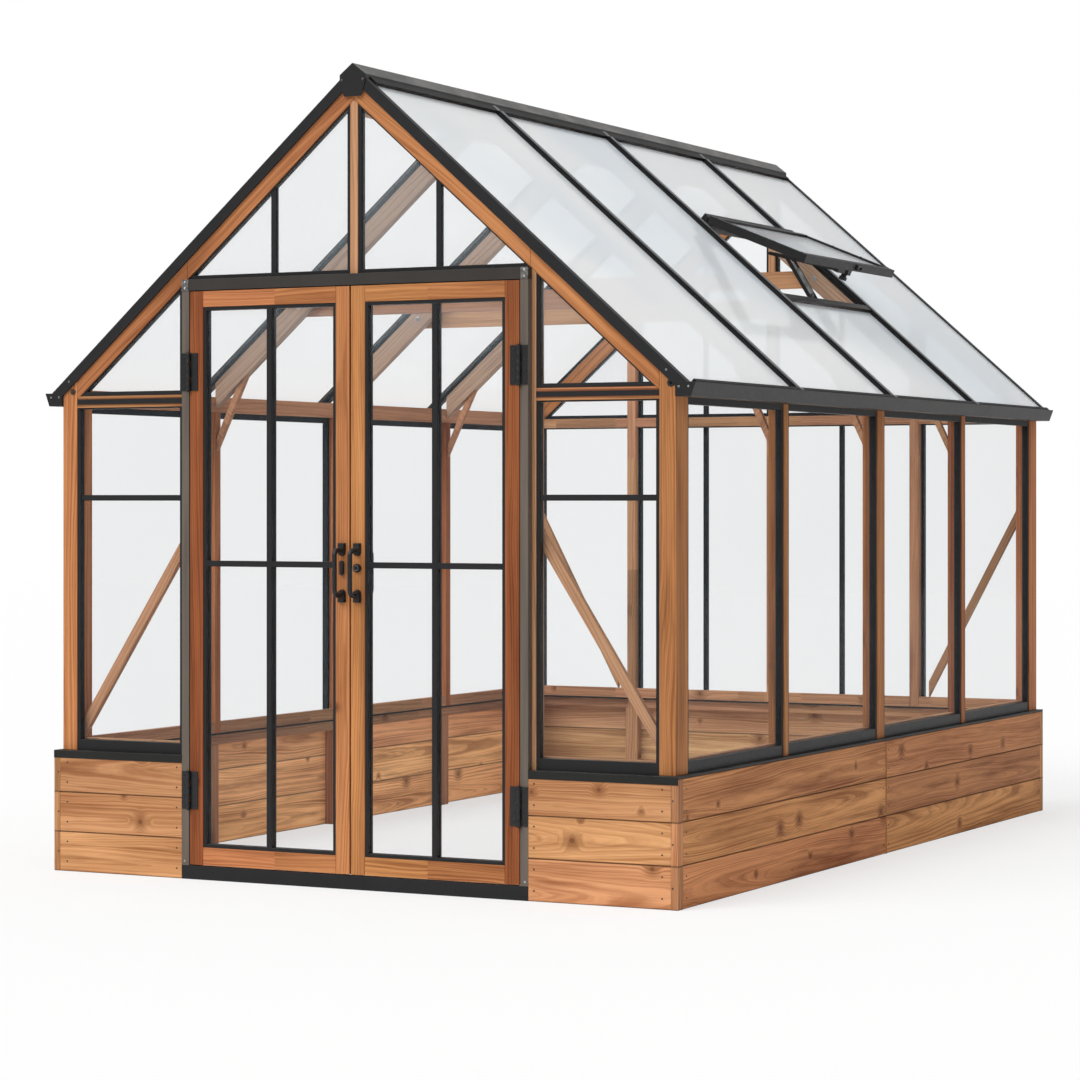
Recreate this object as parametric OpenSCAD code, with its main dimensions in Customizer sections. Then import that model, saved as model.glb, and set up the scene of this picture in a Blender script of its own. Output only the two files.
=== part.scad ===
// Wooden greenhouse, 8 by 12 feet, with double doors, planked base and a glazed gable roof.
// Origin: ground level, middle of the whole object. +X is the right-hand wall, +Y is the rear.

/* [Clearances] */
// Running gap between a moving piece and the fixed one beside it
running_gap = 0.3; // [0.2:0.05:0.5]
// Gap at the butt joints between the pieces of one frame
joint_gap = 0.2; // [0.1:0.05:0.3]
// Running clearance round every pin
pin_clearance = 0.06; // [0.03:0.01:0.1]
// Gap round every pane
pane_gap = 0.3; // [0.1:0.1:0.8]

/* [Base] */
// Outside width of the planked base
base_width = 2438; // [2200:1:2700]
// Outside length of the planked base
base_length = 3658; // [3300:1:4200]
// Rows of boards in the base
board_rows = 3; // [2:1:4]
// Face height of one board
board_h = 140; // [120:1:160]
// Thickness of one board
board_t = 26; // [20:1:32]
// Bevel along the edges of a board
board_bevel = 3; // [1:0.5:6]
// Face width of the corner trims
corner_trim_w = 39; // [30:1:60]
// Width of the battens inside the base
batten_w = 60; // [40:1:90]
// Thickness of the battens inside the base
batten_t = 38; // [25:1:45]
// Thickness of the metal flashing on top of the base
flashing_t = 7; // [4:1:10]
// Drop of the flashing over the front boards
front_lip_h = 20; // [10:1:40]
// Sheet thickness of the flashing's front lip
flashing_lip_t = 2; // [1:0.5:4]

/* [Wall frame] */
// Distance from the side boards' face in to the side wall's face
side_inset = 20; // [10:1:40]
// Distance from the front boards' face in to the front wall's face
front_inset = 26; // [10:1:45]
// Thickness of every wall, which is also the front width of a corner post
wall_t = 60; // [56:1:80]
// Depth of a corner post along the side wall
post_d = 92; // [80:1:110]
// Face width of a thin mullion
mullion_w = 38; // [30:1:50]
// Face width of the middle double mullion
middle_mullion_w = 70; // [60:1:90]
// Distance from the wall's end to the first mullion's centre
first_mullion = 904; // [800:1:1000]
// Width of the timber posts beside the doors
door_post_w = 41; // [36:1:50]
// Thickness of the inner sole plates
sole_t = 24; // [18:1:30]
// Height of the inner sole plates
sole_h = 43; // [30:1:60]
// Drop from the roof surface over the side wall's face to the lower front rail's bottom edge
rail_drop = 105; // [95:1:180]
// Height of each of the two front rails
rail_h = 13; // [11:1:24]
// Gap between the two front rails, filled by the metal band
rail_gap = 15; // [12:1:24]
// Width of the king post in each gable
king_post_w = 30; // [26:1:60]
// Width of the diagonal braces
brace_w = 35; // [28:1:50]
// Thickness of the diagonal braces
brace_t = 22; // [16:1:26]
// Height where a front brace meets the door post
brace_top_z = 1220; // [1000:1:1400]
// Distance of a rear brace's foot from the rear post beside it
rear_brace_foot = 46; // [0:1:150]

/* [Roof] */
// Pitch of the roof in degrees
roof_pitch = 41.2; // [38:0.1:43]
// Height of the roof surface above the upper corners of the door frame
roof_over_door = 123.1; // [110:0.1:260]
// Distance that the roof surface runs out past the side wall's face
eave_reach = 50; // [40:1:60]
// Distance that the roof runs out past the end walls
rake_overhang = 8; // [6:1:45]
// Depth of the rake trim's upper edge below the roof surface
rake_drop = 11; // [8:1:12]
// Depth of the rake trim's lower edge below the roof surface
rake_h = 48; // [42:1:56]
// Width of the rake trim's flange over the glass
rake_flange = 20; // [14:1:26]
// Depth of the roof surface over the timbers
bar_depth = 30; // [28:1:36]
// Depth of a gable rafter
gable_rafter_d = 66; // [56:1:90]
// Thickness of all rafters
rafter_t = 38; // [30:1:45]
// Depth of an inner rafter
inner_rafter_d = 70; // [50:1:90]
// Depth of the ridge beam
ridge_beam_d = 120; // [90:1:150]
// Height of the collar ties' bottom edge above the roof surface over the side wall's face
collar_rise = 257; // [180:1:400]
// The same height for the rear pair's tie, which shows through the open vent
rear_collar_rise = 433; // [300:1:560]
// Depth of a collar tie
collar_d = 70; // [50:1:90]
// Length of a knee brace along the rafter
knee_reach = 140; // [100:1:300]
// Width of a roof bar's base and its glazing seat
bar_base_w = 36; // [30:1:44]
// Width of a roof bar's cap
bar_cap_w = 40; // [34:1:50]
// Width of each rib on a roof bar's cap
bar_rib_w = 8; // [5:1:10]
// Height of a roof bar's base under the glass
bar_base_h = 10; // [7:1:12]
// Thickness of a roof bar's cap between its ribs
bar_cap_t = 6; // [3:1:7]
// Thickness of a roof bar's web
bar_web_t = 10; // [6:1:14]
// Half width of the ridge cap
ridge_cap_half = 50; // [44:1:60]
// Drop of the ridge cap from its apex to its shoulders
ridge_cap_drop = 39; // [30:1:44]
// Height of the ridge cap's side lips
ridge_lip_h = 25; // [16:1:30]
// Height of the ridge end plates
ridge_plate_h = 113; // [100:1:130]
// Sheet thickness of the ridge cap and the end plates
sheet_t = 3; // [2:0.5:4]
// Width of the head bar along the ridge
head_bar_w = 10; // [6:1:20]
// Width of the eave bar along the glass's lower edge
eave_bar_w = 14; // [10:1:20]

/* [Gutters] */
// Distance that a gutter stands out from the wall
gutter_w = 72; // [66:1:90]
// Width of a gutter's flat bottom
gutter_bottom_w = 55; // [45:1:60]
// Height of a gutter
gutter_h = 46; // [38:1:60]
// Drop from the roof surface over the wall's face to the gutter's top
gutter_drop = 52; // [48:1:60]
// Width of the gutter's inward lip
gutter_lip = 7; // [5:1:8]
// Sheet thickness of a gutter
gutter_t = 2.5; // [1.5:0.5:3.5]

/* [Glazing] */
// Thickness of every pane
glass_t = 4; // [3:0.5:6]
// Height of a window frame's bottom bar
frame_bottom_h = 39; // [30:1:50]
// Width of a window frame's side bars
frame_side_w = 13; // [9:1:20]
// Height of the top bar of a front or rear window's frame
frame_top_h = 5; // [4:1:24]
// Height of the top bar of a side window's frame
side_top_h = 23; // [10:1:30]
// Width of the sloping bar over a gable's pane
gable_bar_w = 5; // [4:1:16]
// Width of the level bar under a gable's pane
gable_bottom_w = 15; // [4:1:20]
// Depth of the window frames
frame_d = 24; // [16:1:30]
// Distance from the wall's face in to the window frames
frame_set = 4; // [1:1:8]
// Face width of the thin glazing bars
muntin_w = 20; // [14:1:26]
// Height of the front windows' glazing bar above the ground
front_muntin_z = 1320; // [1100:1:1450]

/* [Doors] */
// Outside width of the metal door frame
door_frame_w = 1356; // [1250:1:1380]
// Outside height of the metal door frame
door_frame_h = 2076; // [2030:1:2090]
// Face width of the metal jambs
jamb_w = 30; // [26:1:40]
// Face height of the metal header
header_h = 39; // [30:1:50]
// Height of the threshold
sill_h = 47; // [30:1:60]
// Gap round and between the door leaves
door_gap = 3; // [2:0.5:6]
// Thickness of a door leaf
leaf_t = 38; // [34:1:44]
// Distance from the jamb's face back to the leaf's face
leaf_set = 1; // [0:0.5:3]
// Face width of the leaf's stiles
stile_w = 54; // [48:1:80]
// Height of the leaf's top rail
top_rail_h = 55; // [45:1:80]
// Height of the leaf's bottom rail
bottom_rail_h = 62; // [50:1:120]
// Face width of the leaf's glazing stops
stop_w = 12; // [8:1:18]
// Distance from the leaf's face back to the glazing stops
stop_set = 3; // [1:1:6]
// Height of the leaf's horizontal glazing bar above the ground
leaf_muntin_z = 1093; // [800:1:1400]
// Height of the low inner part of the threshold
threshold_inner_h = 29; // [15:1:40]
// Thickness of the strips that the leaves close against
door_stop_t = 10; // [6:1:14]
// Height of the head stop
door_stop_h = 8; // [5:1:12]

/* [Door hardware] */
// Height of a hinge
hinge_h = 130; // [90:1:150]
// Knuckles in a hinge
hinge_knuckles = 5; // [3:2:7]
// Radius of a hinge's barrel
hinge_r = 7.2; // [6:0.1:7.4]
// Radius of a hinge's pin
hinge_pin_r = 4; // [3:0.1:4.5]
// Height of the heads of a hinge's pin
pin_head_h = 3; // [2:0.5:5]
// Distance from the jamb's face out to the hinge's axis
hinge_offset = 7.5; // [7.5:0.1:9]
// Width of a hinge leaf
hinge_leaf_w = 27; // [20:1:36]
// Thickness of a hinge leaf
hinge_leaf_t = 3; // [2:0.5:4]
// Height of the upper hinges' centre above the ground
upper_hinge_z = 1755; // [1600:1:1850]
// Height of the lower hinges' centre above the ground
lower_hinge_z = 308; // [200:1:450]
// Height of the handles' centre above the ground
handle_z = 1067; // [950:1:1200]
// Distance between the centres of a handle's two bases
handle_span = 152; // [120:1:220]
// Projection of a handle from the leaf's face
handle_reach = 60; // [45:1:75]
// Diameter of a handle's grip
grip_d = 16; // [12:1:20]
// Width of a handle's base
handle_base_w = 27; // [24:1:34]
// Height of a handle's base
handle_base_h = 44; // [38:1:50]
// Thickness of a handle's base
handle_base_t = 13; // [8:1:16]
// Width of the thumb turn
thumb_turn_w = 16; // [12:1:20]
// Height of the thumb turn
thumb_turn_h = 50; // [40:1:60]
// Thickness of the thumb turn
thumb_turn_t = 10; // [6:1:14]
// Height of the round collar under the thumb turn
thumb_turn_collar_h = 2.5; // [1:0.5:4]
// Diameter of the key cylinder
key_cylinder_d = 29; // [20:1:30]
// Projection of the key cylinder
key_cylinder_t = 12; // [8:1:18]
// Height of both locks above the handles' centre
lock_rise = 16; // [0:1:30]

/* [Roof vent] */
// Distance from the panes' upper edge down the slope to the vent opening
vent_start = 549; // [400:1:600]
// Length of the vent opening down the slope
vent_len = 402; // [380:1:480]
// Width of the bars above and below the opening
curb_w = 30; // [24:1:40]
// Height of the weather strip over the upper bar, above the vent's hinge
curb_strip_h = 13; // [6:1:15]
// Distance that the weather strip laps the pane above the vent
curb_strip_lap = 18; // [8:1:30]
// Width of the sash's side and end rails
sash_rail_w = 30; // [24:1:40]
// Thickness of the sash
sash_t = 32; // [18:1:40]
// Distance that the closed sash laps the lower bar
sash_lap = 24; // [10:1:28]
// Distance that the sash overlaps the roof bars' centre lines
sash_side_lap = 8; // [2:1:14]
// Depth of the vent's pane below the sash's upper face
sash_pane_set = 12; // [6:1:16]
// Angle that the vent stands open at, in degrees
vent_open = 19; // [10:1:30]
// Gap between the roof surface and the closed sash
vent_gap = 1.5; // [1:0.5:4]
// Radius of the vent's hinge rod
vent_pin_r = 4; // [3:0.5:5]
// Distance from the roof bars' centre lines to the ends of the hinge rod
vent_rod_inset = 60; // [40:1:120]
// Thickness of the ears that carry the hinge rod
vent_ear_t = 6; // [4:1:10]
// Length of each of the sash's two knuckles
vent_knuckle_len = 60; // [30:1:100]
// Distance from the middle of the sash to its clamp
clamp_offset = 75; // [66:1:250]
// Width of the sash's clamp
clamp_w = 34; // [14:1:40]
// Length of each arm of the vent's opener
opener_arm_len = 215; // [205:1:240]
// Width of an arm of the opener
opener_arm_w = 14; // [10:1:18]
// Thickness of an arm of the opener
opener_arm_t = 4; // [3:0.5:6]
// Length of each arm beyond the crossing
opener_tail = 75; // [40:1:90]
// Distance from the middle of the opener to the inside of its lower arms
opener_plane = 28; // [22:1:40]
// Radius of the opener's pivot pins
opener_pin_r = 4; // [3:0.5:5]
// Radius of the cross pins that tie each pair of arms
cross_pin_r = 3; // [2:0.5:4]
// Sheet thickness of the opener's brackets
bracket_t = 4; // [3:0.5:6]
// Radius of the brackets' ears round the pivot pins
bracket_ear_r = 10; // [8:0.5:12]
// Diameter of the opener's cylinder
opener_cylinder_d = 26; // [20:1:34]
// Length of the opener's cylinder
opener_cylinder_len = 115; // [90:1:120]
// Visible length of the opener's rod
opener_rod_len = 36; // [20:1:40]

/* [Hidden] */

$fn = 48;
cedar = [0.76, 0.5, 0.32];
cedar_dark = [0.7, 0.43, 0.25];
black_metal = [0.2, 0.2, 0.21];
clear_glass = [0.8, 0.88, 0.9, 0.35];

base_h = board_rows * board_h;
base_x = base_width / 2;
base_y = base_length / 2;
wall_x = base_x - side_inset;
wall_y = base_y - front_inset;
wall_z = base_h + flashing_t;
inner_x = wall_x - wall_t;
inner_y = wall_y - wall_t;
slope = tan(roof_pitch);
apex_z = door_frame_h + roof_over_door + door_frame_w / 2 * slope;
eave_height = apex_z - wall_x * slope;
rail_z = eave_height - rail_drop;
collar_rises = [collar_rise, collar_rise, rear_collar_rise];
rafter_under = bar_depth + gable_rafter_d;
// Depths of the timbers' tops under the roof bars and of the pieces under the gable rafters
timber_top = bar_depth + joint_gap;
rafter_low = rafter_under + joint_gap;
rake_y = wall_y + rake_overhang;
rake_inner_y = wall_y - rake_flange;

leaf_face_y = -base_y + leaf_set;
rear_reach = max(rake_y + sheet_t, base_y);
shift_y = (handle_reach - leaf_face_y - rear_reach) / 2;

mullion_y = [first_mullion - wall_y, 0, wall_y - first_mullion];
mullion_widths = [mullion_w, middle_mullion_w, mullion_w];
bay_starts = [post_d - wall_y, for (i = [0:2]) mullion_y[i] + mullion_widths[i] / 2];
bay_ends = [for (i = [0:2]) mullion_y[i] - mullion_widths[i] / 2, wall_y - post_d];

door_half = door_frame_w / 2;
door_post_out = door_half + 15;
door_post_in = door_post_out - door_post_w;
rail_top_z = rail_z + 2 * rail_h + rail_gap;
header_z = door_frame_h - header_h;

// Depths below the roof surface of a bar's glazing seat, its panes and the floor of its cap
seat_depth = bar_depth - bar_base_h;
pane_depth = seat_depth - glass_t;
cap_depth = pane_depth - bar_cap_t;
head_bar_x = ridge_cap_half + pane_gap;
pane_start = (head_bar_x + head_bar_w + bar_depth * sin(roof_pitch)) / cos(roof_pitch);
pane_end = slope_s(wall_x + eave_reach);
ridge_cap_z = roof_z(ridge_cap_half, 0) + ridge_cap_drop;
gutter_top_z = eave_height - gutter_drop;
wall_top_z = gutter_top_z - gutter_h;

leaf_in = door_gap;
leaf_out = door_half - jamb_w - door_gap;
leaf_bottom = sill_h + door_gap;
leaf_top = header_z - door_gap;
hinge_x = door_half - jamb_w - door_gap / 2;
hinge_y = -base_y - hinge_offset;
knuckle_h = hinge_h / hinge_knuckles;
handle_x = leaf_in + stile_w / 2;
lock_z = handle_z + lock_rise;
leaf_mid = (leaf_in + leaf_out) / 2;
rear_bays = [[king_post_w / 2, door_post_in], [door_post_out, inner_x]];
pane_y = frame_set + (frame_d - glass_t) / 2;

vent_bay = [mullion_y[1], mullion_y[2]];
vent_s0 = pane_start + vent_start;
vent_s1 = vent_s0 + vent_len;
vent_hinge_s = vent_s0 - curb_w / 2;
vent_hinge_z = vent_gap + 8;
vent_mid_y = (vent_bay[0] + vent_bay[1]) / 2;
vent_half = (vent_bay[1] - vent_bay[0]) / 2;
sash_half = vent_half + sash_side_lap;
rod_half = vent_half - vent_rod_inset;
// Distances from the vent's hinge down the sash, with the hinge's axis as the origin
sash_start = 10;
sash_end = vent_len + curb_w / 2 + sash_lap;
sash_low = vent_gap - vent_hinge_z;
sash_high = sash_low + sash_t;
curb_face = vent_len + curb_w / 2;
// Pivots of the opener on the lower bar and on the closed sash
foot = [curb_face - bracket_t - 2 * bracket_ear_r + 4, -50];
sash_pivot = [sash_end - sash_rail_w - bracket_t - bracket_ear_r + 2, -20];
open_pivot = turned(sash_pivot, vent_open);
pivot_gap = norm(open_pivot - foot);
pivot_angle = atan2(open_pivot[1] - foot[1], open_pivot[0] - foot[0]);
opener_half_angle = acos(pivot_gap / 2 / opener_arm_len);
lower_arm_angle = pivot_angle + opener_half_angle;
upper_arm_angle = pivot_angle + 180 - opener_half_angle;
// Distances of the cross pins from the arms' pivots
lower_pin_x = 36;
upper_pin_x = 25;

// Height of the plane that lies a given depth below the roof surface, over a given X
function roof_z(x, depth) = apex_z - depth / cos(roof_pitch) - x * slope;
// Where that plane has a given height
function roof_x(z, depth) = (apex_z - depth / cos(roof_pitch) - z) / slope;
// Distance down the roof surface to a given X
function slope_s(x) = x / cos(roof_pitch);
// The point a given distance down the roof surface and a given depth below it
function slope_point(s, depth) = [
  s * cos(roof_pitch) - depth * sin(roof_pitch), apex_z - s * sin(roof_pitch) - depth * cos(roof_pitch)
];
// A point turned up about the vent's hinge
function turned(p, angle) = [
  p[0] * cos(angle) - p[1] * sin(angle), p[0] * sin(angle) + p[1] * cos(angle)
];
// Whether a post at X1 cuts off a gable's pane before the slope comes down to its foot
function is_cut(x1, z0, depth) = x1 < roof_x(z0, depth);
// Corners of a gable's pane: three under the slope, or four where a post cuts it off
function gable_corners(x0, x1, z0, depth, cut) = cut
  ? [[x0, z0], [x1, z0], [x1, roof_z(x1, depth)], [x0, roof_z(x0, depth)]]
  : [[x0, z0], [roof_x(z0, depth), z0], [x0, roof_z(x0, depth)]];

// The Y values of a bay's roof pane, which ends at the webs of the bars beside it
function pane_sides(bay) = [
  bay > 0 ? mullion_y[bay - 1] + bar_web_t / 2 + pane_gap : -wall_y + pane_gap,
  bay < 3 ? mullion_y[bay] - bar_web_t / 2 - pane_gap : wall_y - pane_gap
];

// A box from its lowest corner to its highest
module box(low, high) translate(low) cube(high - low);
// Moves the house so that the whole object is centred on the origin
module house() translate([0, shift_y, 0]) children();
module mirrored_x() {
  children();
  mirror([1, 0, 0]) children();
}
module mirrored_y() {
  children();
  mirror([0, 1, 0]) children();
}
// Turns a drawing in X and Z into a solid between two values of Y
module across(y0, y1) translate([0, y1, 0]) rotate([90, 0, 0]) linear_extrude(y1 - y0) children();
// Turns a drawing in Y and Z into a solid between two values of X
module across_side(x0, x1) translate([x0, 0, 0]) rotate([90, 0, 90]) linear_extrude(x1 - x0) children();
// Right-hand slope: X runs down the slope from the apex and Z stands out of the roof
module on_slope() translate([0, 0, apex_z]) rotate([0, roof_pitch, 0]) children();
// Right-hand wall: X runs to the rear, and Y goes in from the wall's face
module on_right_wall() translate([wall_x, 0, 0]) rotate([0, 0, 90]) children();
// Front wall: Y goes in from the wall's face
module on_front_wall() translate([0, -wall_y, 0]) children();

// A beam between two X values, from one depth below the roof to another, with plumb ends
module sloped_outline(x0, x1, d0, d1) polygon([
  [x0, roof_z(x0, d0)], [x1, roof_z(x1, d0)], [x1, roof_z(x1, d1)], [x0, roof_z(x0, d1)]
]);
// A timber that stands on a level and is cut along a plane under the roof
module post_outline(x0, x1, z0, depth) polygon([
  [x0, z0], [x1, z0], [x1, roof_z(x1, depth)], [x0, roof_z(x0, depth)]
]);

// A bevelled board along X with its face towards -Y and its back on Y = board_t
module board(length) rotate([90, 0, 90]) linear_extrude(length) polygon([
  [0, board_bevel], [board_bevel, 0], [board_t, 0],
  [board_t, board_h - joint_gap], [board_bevel, board_h - joint_gap], [0, board_h - board_bevel]
]);
module board_stack(x0, x1)
  for (row = [0:board_rows - 1]) translate([x0 + joint_gap, 0, row * board_h]) board(x1 - x0 - joint_gap);

module front_base_boards() color(cedar) house() mirrored_x()
  translate([0, -base_y, 0]) board_stack(door_half, base_x - board_t);

module rear_base_boards() color(cedar) house() rotate([0, 0, 180]) mirrored_x()
  translate([0, -base_y, 0]) board_stack(0, base_x - board_t);

module side_base_boards() mirrored_y() translate([base_x, 0, 0]) rotate([0, 0, 90])
  board_stack(0, base_y - corner_trim_w);
module right_base_boards() color(cedar) house() side_base_boards();
module left_base_boards() color(cedar) house() mirror([1, 0, 0]) side_base_boards();

module base_corner_trims() color(cedar_dark) house() mirrored_x() mirrored_y()
  box([base_x - board_t, base_y - corner_trim_w, 0], [base_x, base_y, base_h]);

module base_inner_frame() color(cedar_dark) house() {
  batten_x = base_x - board_t;
  batten_y = base_y - board_t;
  batten_top = base_h - batten_t;
  front_start = door_post_out + joint_gap;
  mirrored_x() {
    // upright battens of the side walls
    for (y = [-batten_y, mullion_y[0] - batten_w / 2, -batten_w / 2, mullion_y[2] - batten_w / 2,
              batten_y - batten_w])
      box([batten_x - batten_t, y, 0], [batten_x, y + batten_w, batten_top - joint_gap]);
    // top rail of the side walls
    box([batten_x - batten_t, -batten_y, batten_top], [batten_x, batten_y, base_h]);
    // top rails of the front and rear walls
    box([front_start, -batten_y, batten_top],
        [batten_x - batten_t - joint_gap, -batten_y + batten_t, base_h]);
    box([joint_gap, batten_y - batten_t, batten_top],
        [batten_x - batten_t - joint_gap, batten_y, base_h]);
    // battens beside the doors and under the rear posts
    box([front_start, -batten_y, 0],
        [front_start + batten_w, -batten_y + batten_t, batten_top - joint_gap]);
    box([door_post_in, batten_y - batten_t, 0],
        [door_post_in + batten_w, batten_y, batten_top - joint_gap]);
    // sole plates inside the side windows and the front windows
    for (bay = [0:3]) box([inner_x, bay_starts[bay], wall_z],
                          [inner_x + sole_t, bay_ends[bay], wall_z + sole_h]);
    box([door_post_out, -inner_y - sole_t, wall_z], [inner_x, -inner_y, wall_z + sole_h]);
  }
}

module base_flashing() color(black_metal) house() mirrored_x() {
  // side strips, then the rear one
  box([inner_x, -inner_y, base_h], [base_x, inner_y, wall_z]);
  box([joint_gap, inner_y + joint_gap, base_h], [base_x, base_y, wall_z]);
  // front strips, which stand over the boards beside the door frame
  box([door_post_out, -wall_y, base_h], [base_x, -inner_y - joint_gap, wall_z]);
  across_side(door_half, base_x) polygon([
    [-base_y - flashing_lip_t, base_h - front_lip_h], [-base_y, base_h - front_lip_h],
    [-base_y, base_h], [-wall_y - joint_gap, base_h], [-wall_y - joint_gap, wall_z],
    [-base_y - flashing_lip_t, wall_z]
  ]);
}

module corner_posts() color(cedar) house() mirrored_x() mirrored_y()
  across(wall_y - post_d, wall_y) post_outline(inner_x, wall_x, wall_z, timber_top);

// The posts stand on the ground, and their heads stop under the rafter and the gable's frame
module door_posts() color(cedar_dark) house() mirrored_x() on_front_wall() intersection() {
  across(0, wall_t) post_outline(door_post_in, door_post_out, 0, rafter_low);
  box([door_post_in, 0, 0], [door_post_out, wall_t, door_frame_h]);
}

module side_mullions() for (i = [0:2])
  box([inner_x, mullion_y[i] - mullion_widths[i] / 2, wall_z],
      [wall_x, mullion_y[i] + mullion_widths[i] / 2, wall_top_z]);
module right_wall_mullions() color(cedar) house() side_mullions();
module left_wall_mullions() color(cedar) house() mirror([1, 0, 0]) side_mullions();

module eave_beams() color(cedar_dark) house() mirrored_x()
  box([inner_x, post_d - wall_y, wall_top_z], [wall_x, wall_y - post_d, roof_z(wall_x, timber_top)]);

// One rail of an end wall between two X values, cut off under the rafter
module end_rail(x0, x1, z0, z1, depth) intersection() {
  across(0, depth) post_outline(x0, x1, wall_z, rafter_low);
  box([x0, 0, z0], [x1, depth, z1]);
}
module front_wall_rails() color(cedar) house() on_front_wall() {
  mirrored_x() for (z = [rail_z, rail_z + rail_h + rail_gap])
    end_rail(door_post_out, inner_x, z, z + rail_h, wall_t);
  // lintel behind the metal header
  box([-door_post_in, 0, header_z], [door_post_in, wall_t, door_frame_h]);
}

module rear_wall_timbers() color(cedar) house() mirror([0, 1, 0]) on_front_wall() {
  mirrored_x() {
    // posts in line with the door posts, and the sole plates
    across(0, wall_t) post_outline(door_post_in, door_post_out, wall_z, rafter_low);
    for (span = rear_bays) {
      x0 = span[0] + joint_gap;
      x1 = span[1] - joint_gap;
      box([x0, wall_t - sole_t, wall_z], [x1, wall_t, wall_z + sole_h]);
      end_rail(x0, x1, rail_z, rail_top_z, wall_t);
    }
  }
  // middle post up to the king post
  box([-king_post_w / 2, 0, wall_z], [king_post_w / 2, wall_t, rail_top_z]);
}

// Two lengths of rafter on each side of a gable, jointed over the door posts
module end_rafters() mirrored_x() {
  joint_x = (door_post_in + door_post_out) / 2;
  for (span = [[joint_gap / 2, joint_x - joint_gap], [joint_x, inner_x]])
    across(0, rafter_t) sloped_outline(span[0], span[1], timber_top, rafter_under);
}
module front_gable_rafters() color(cedar) house() on_front_wall() end_rafters();
module rear_gable_rafters() color(cedar) house() mirror([0, 1, 0]) on_front_wall() end_rafters();

// A gable's middle post, with its head cut to both rafters
module king_post(z0) across(0, rafter_t) polygon([
  [-king_post_w / 2, z0], [king_post_w / 2, z0],
  [king_post_w / 2, roof_z(king_post_w / 2, rafter_low)],
  [0, roof_z(0, rafter_low)],
  [-king_post_w / 2, roof_z(king_post_w / 2, rafter_low)]
]);
module gable_king_posts() color(cedar_dark) house() {
  on_front_wall() king_post(door_frame_h);
  mirror([0, 1, 0]) on_front_wall() king_post(rail_top_z);
}

module inner_rafters() color(cedar) house() mirrored_x() for (y = mullion_y)
  across(y - rafter_t / 2, y + rafter_t / 2)
    sloped_outline(rafter_t / 2, inner_x, timber_top, bar_depth + inner_rafter_d);

module ridge_beam() color(cedar_dark) house() across(rafter_t - wall_y, wall_y - rafter_t) {
  top_z = roof_z(rafter_t / 2, timber_top);
  polygon([
    [-rafter_t / 2, top_z - ridge_beam_d], [rafter_t / 2, top_z - ridge_beam_d],
    [rafter_t / 2, top_z], [-rafter_t / 2, top_z]
  ]);
}

module collar_ties() color(cedar_dark) house() for (i = [0:2]) {
  // each tie is bolted against the rear face of its pair of rafters
  low_z = eave_height + collar_rises[i];
  high_z = low_z + collar_d;
  reach = roof_x(low_z, bar_depth + 10);
  top_reach = roof_x(high_z, bar_depth + 10);
  face_y = mullion_y[i] + rafter_t / 2;
  across(face_y, face_y + batten_t)
    polygon([[-reach, low_z], [reach, low_z], [top_reach, high_z], [-top_reach, high_z]]);
}

// A brace between two points in X and Z, with plumb ends
module brace_outline(a, b, w) polygon([[a[0], a[1]], [b[0], b[1]], [b[0], b[1] + w], [a[0], a[1] + w]]);
module braces() color(cedar) house() {
  rise = brace_w * 1.9;
  sole_top = wall_z + sole_h;
  mirrored_x() {
    on_front_wall() across(wall_t - brace_t, wall_t)
      brace_outline([door_post_out, brace_top_z - rise], [inner_x, sole_top], rise);
    mirror([0, 1, 0]) on_front_wall() across(wall_t - brace_t, wall_t)
      brace_outline([door_post_out + rear_brace_foot, sole_top], [inner_x, brace_top_z], rise);
      // short knee braces from the side mullions up to the inner rafters
    for (y = mullion_y) across(y - brace_t / 2, y + brace_t / 2) knee_outline();
  }
}
module knee_outline() {
  foot = inner_x - knee_reach;
  under = bar_depth + inner_rafter_d + joint_gap;
  polygon([
    [inner_x, rail_z - knee_reach], [inner_x, rail_z - knee_reach + brace_w * 1.4],
    [foot + brace_w * 1.4, roof_z(foot + brace_w * 1.4, under)], [foot, roof_z(foot, under)]
  ]);
}

module door_frame() color(black_metal) house() {
  frame_back = -wall_y;
  stop_y = leaf_face_y + leaf_t + 1;
  mirrored_x() {
    box([door_half - jamb_w, -base_y, sill_h], [door_half, frame_back, header_z - joint_gap]);
    // the strip that a leaf closes against
    box([door_post_in - stop_w, stop_y, sill_h],
        [door_post_in, stop_y + door_stop_t, header_z - door_stop_h - joint_gap]);
  }
  box([-door_half, -base_y, header_z], [door_half, frame_back, door_frame_h]);
  // head stop under the lintel
  box([-door_post_in, stop_y, header_z - door_stop_h],
      [door_post_in, stop_y + door_stop_t, header_z]);
}

module door_threshold() color(black_metal) house() {
  box([-door_half, -base_y, 0], [door_half, -wall_y, sill_h - joint_gap]);
  box([-door_post_in, -wall_y, 0], [door_post_in, -inner_y, threshold_inner_h]);
}

// Four butted bars round a window, in a wall's own coordinates
module window_frame(x0, x1, z0, z1, top_h) {
  y0 = frame_set;
  y1 = frame_set + frame_d;
  low_z = z0 + frame_bottom_h;
  high_z = z1 - top_h;
  box([x0, y0, z0], [x1, y1, low_z - joint_gap]);
  box([x0, y0, high_z + joint_gap], [x1, y1, z1]);
  for (x = [x0, x1 - frame_side_w]) box([x, y0, low_z], [x + frame_side_w, y1, high_z]);
}
module window_pane(x0, x1, z0, z1, top_h) {
  side = frame_side_w + pane_gap;
  box([x0 + side, pane_y, z0 + frame_bottom_h + pane_gap],
      [x1 - side, pane_y + glass_t, z1 - top_h - pane_gap]);
}
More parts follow.
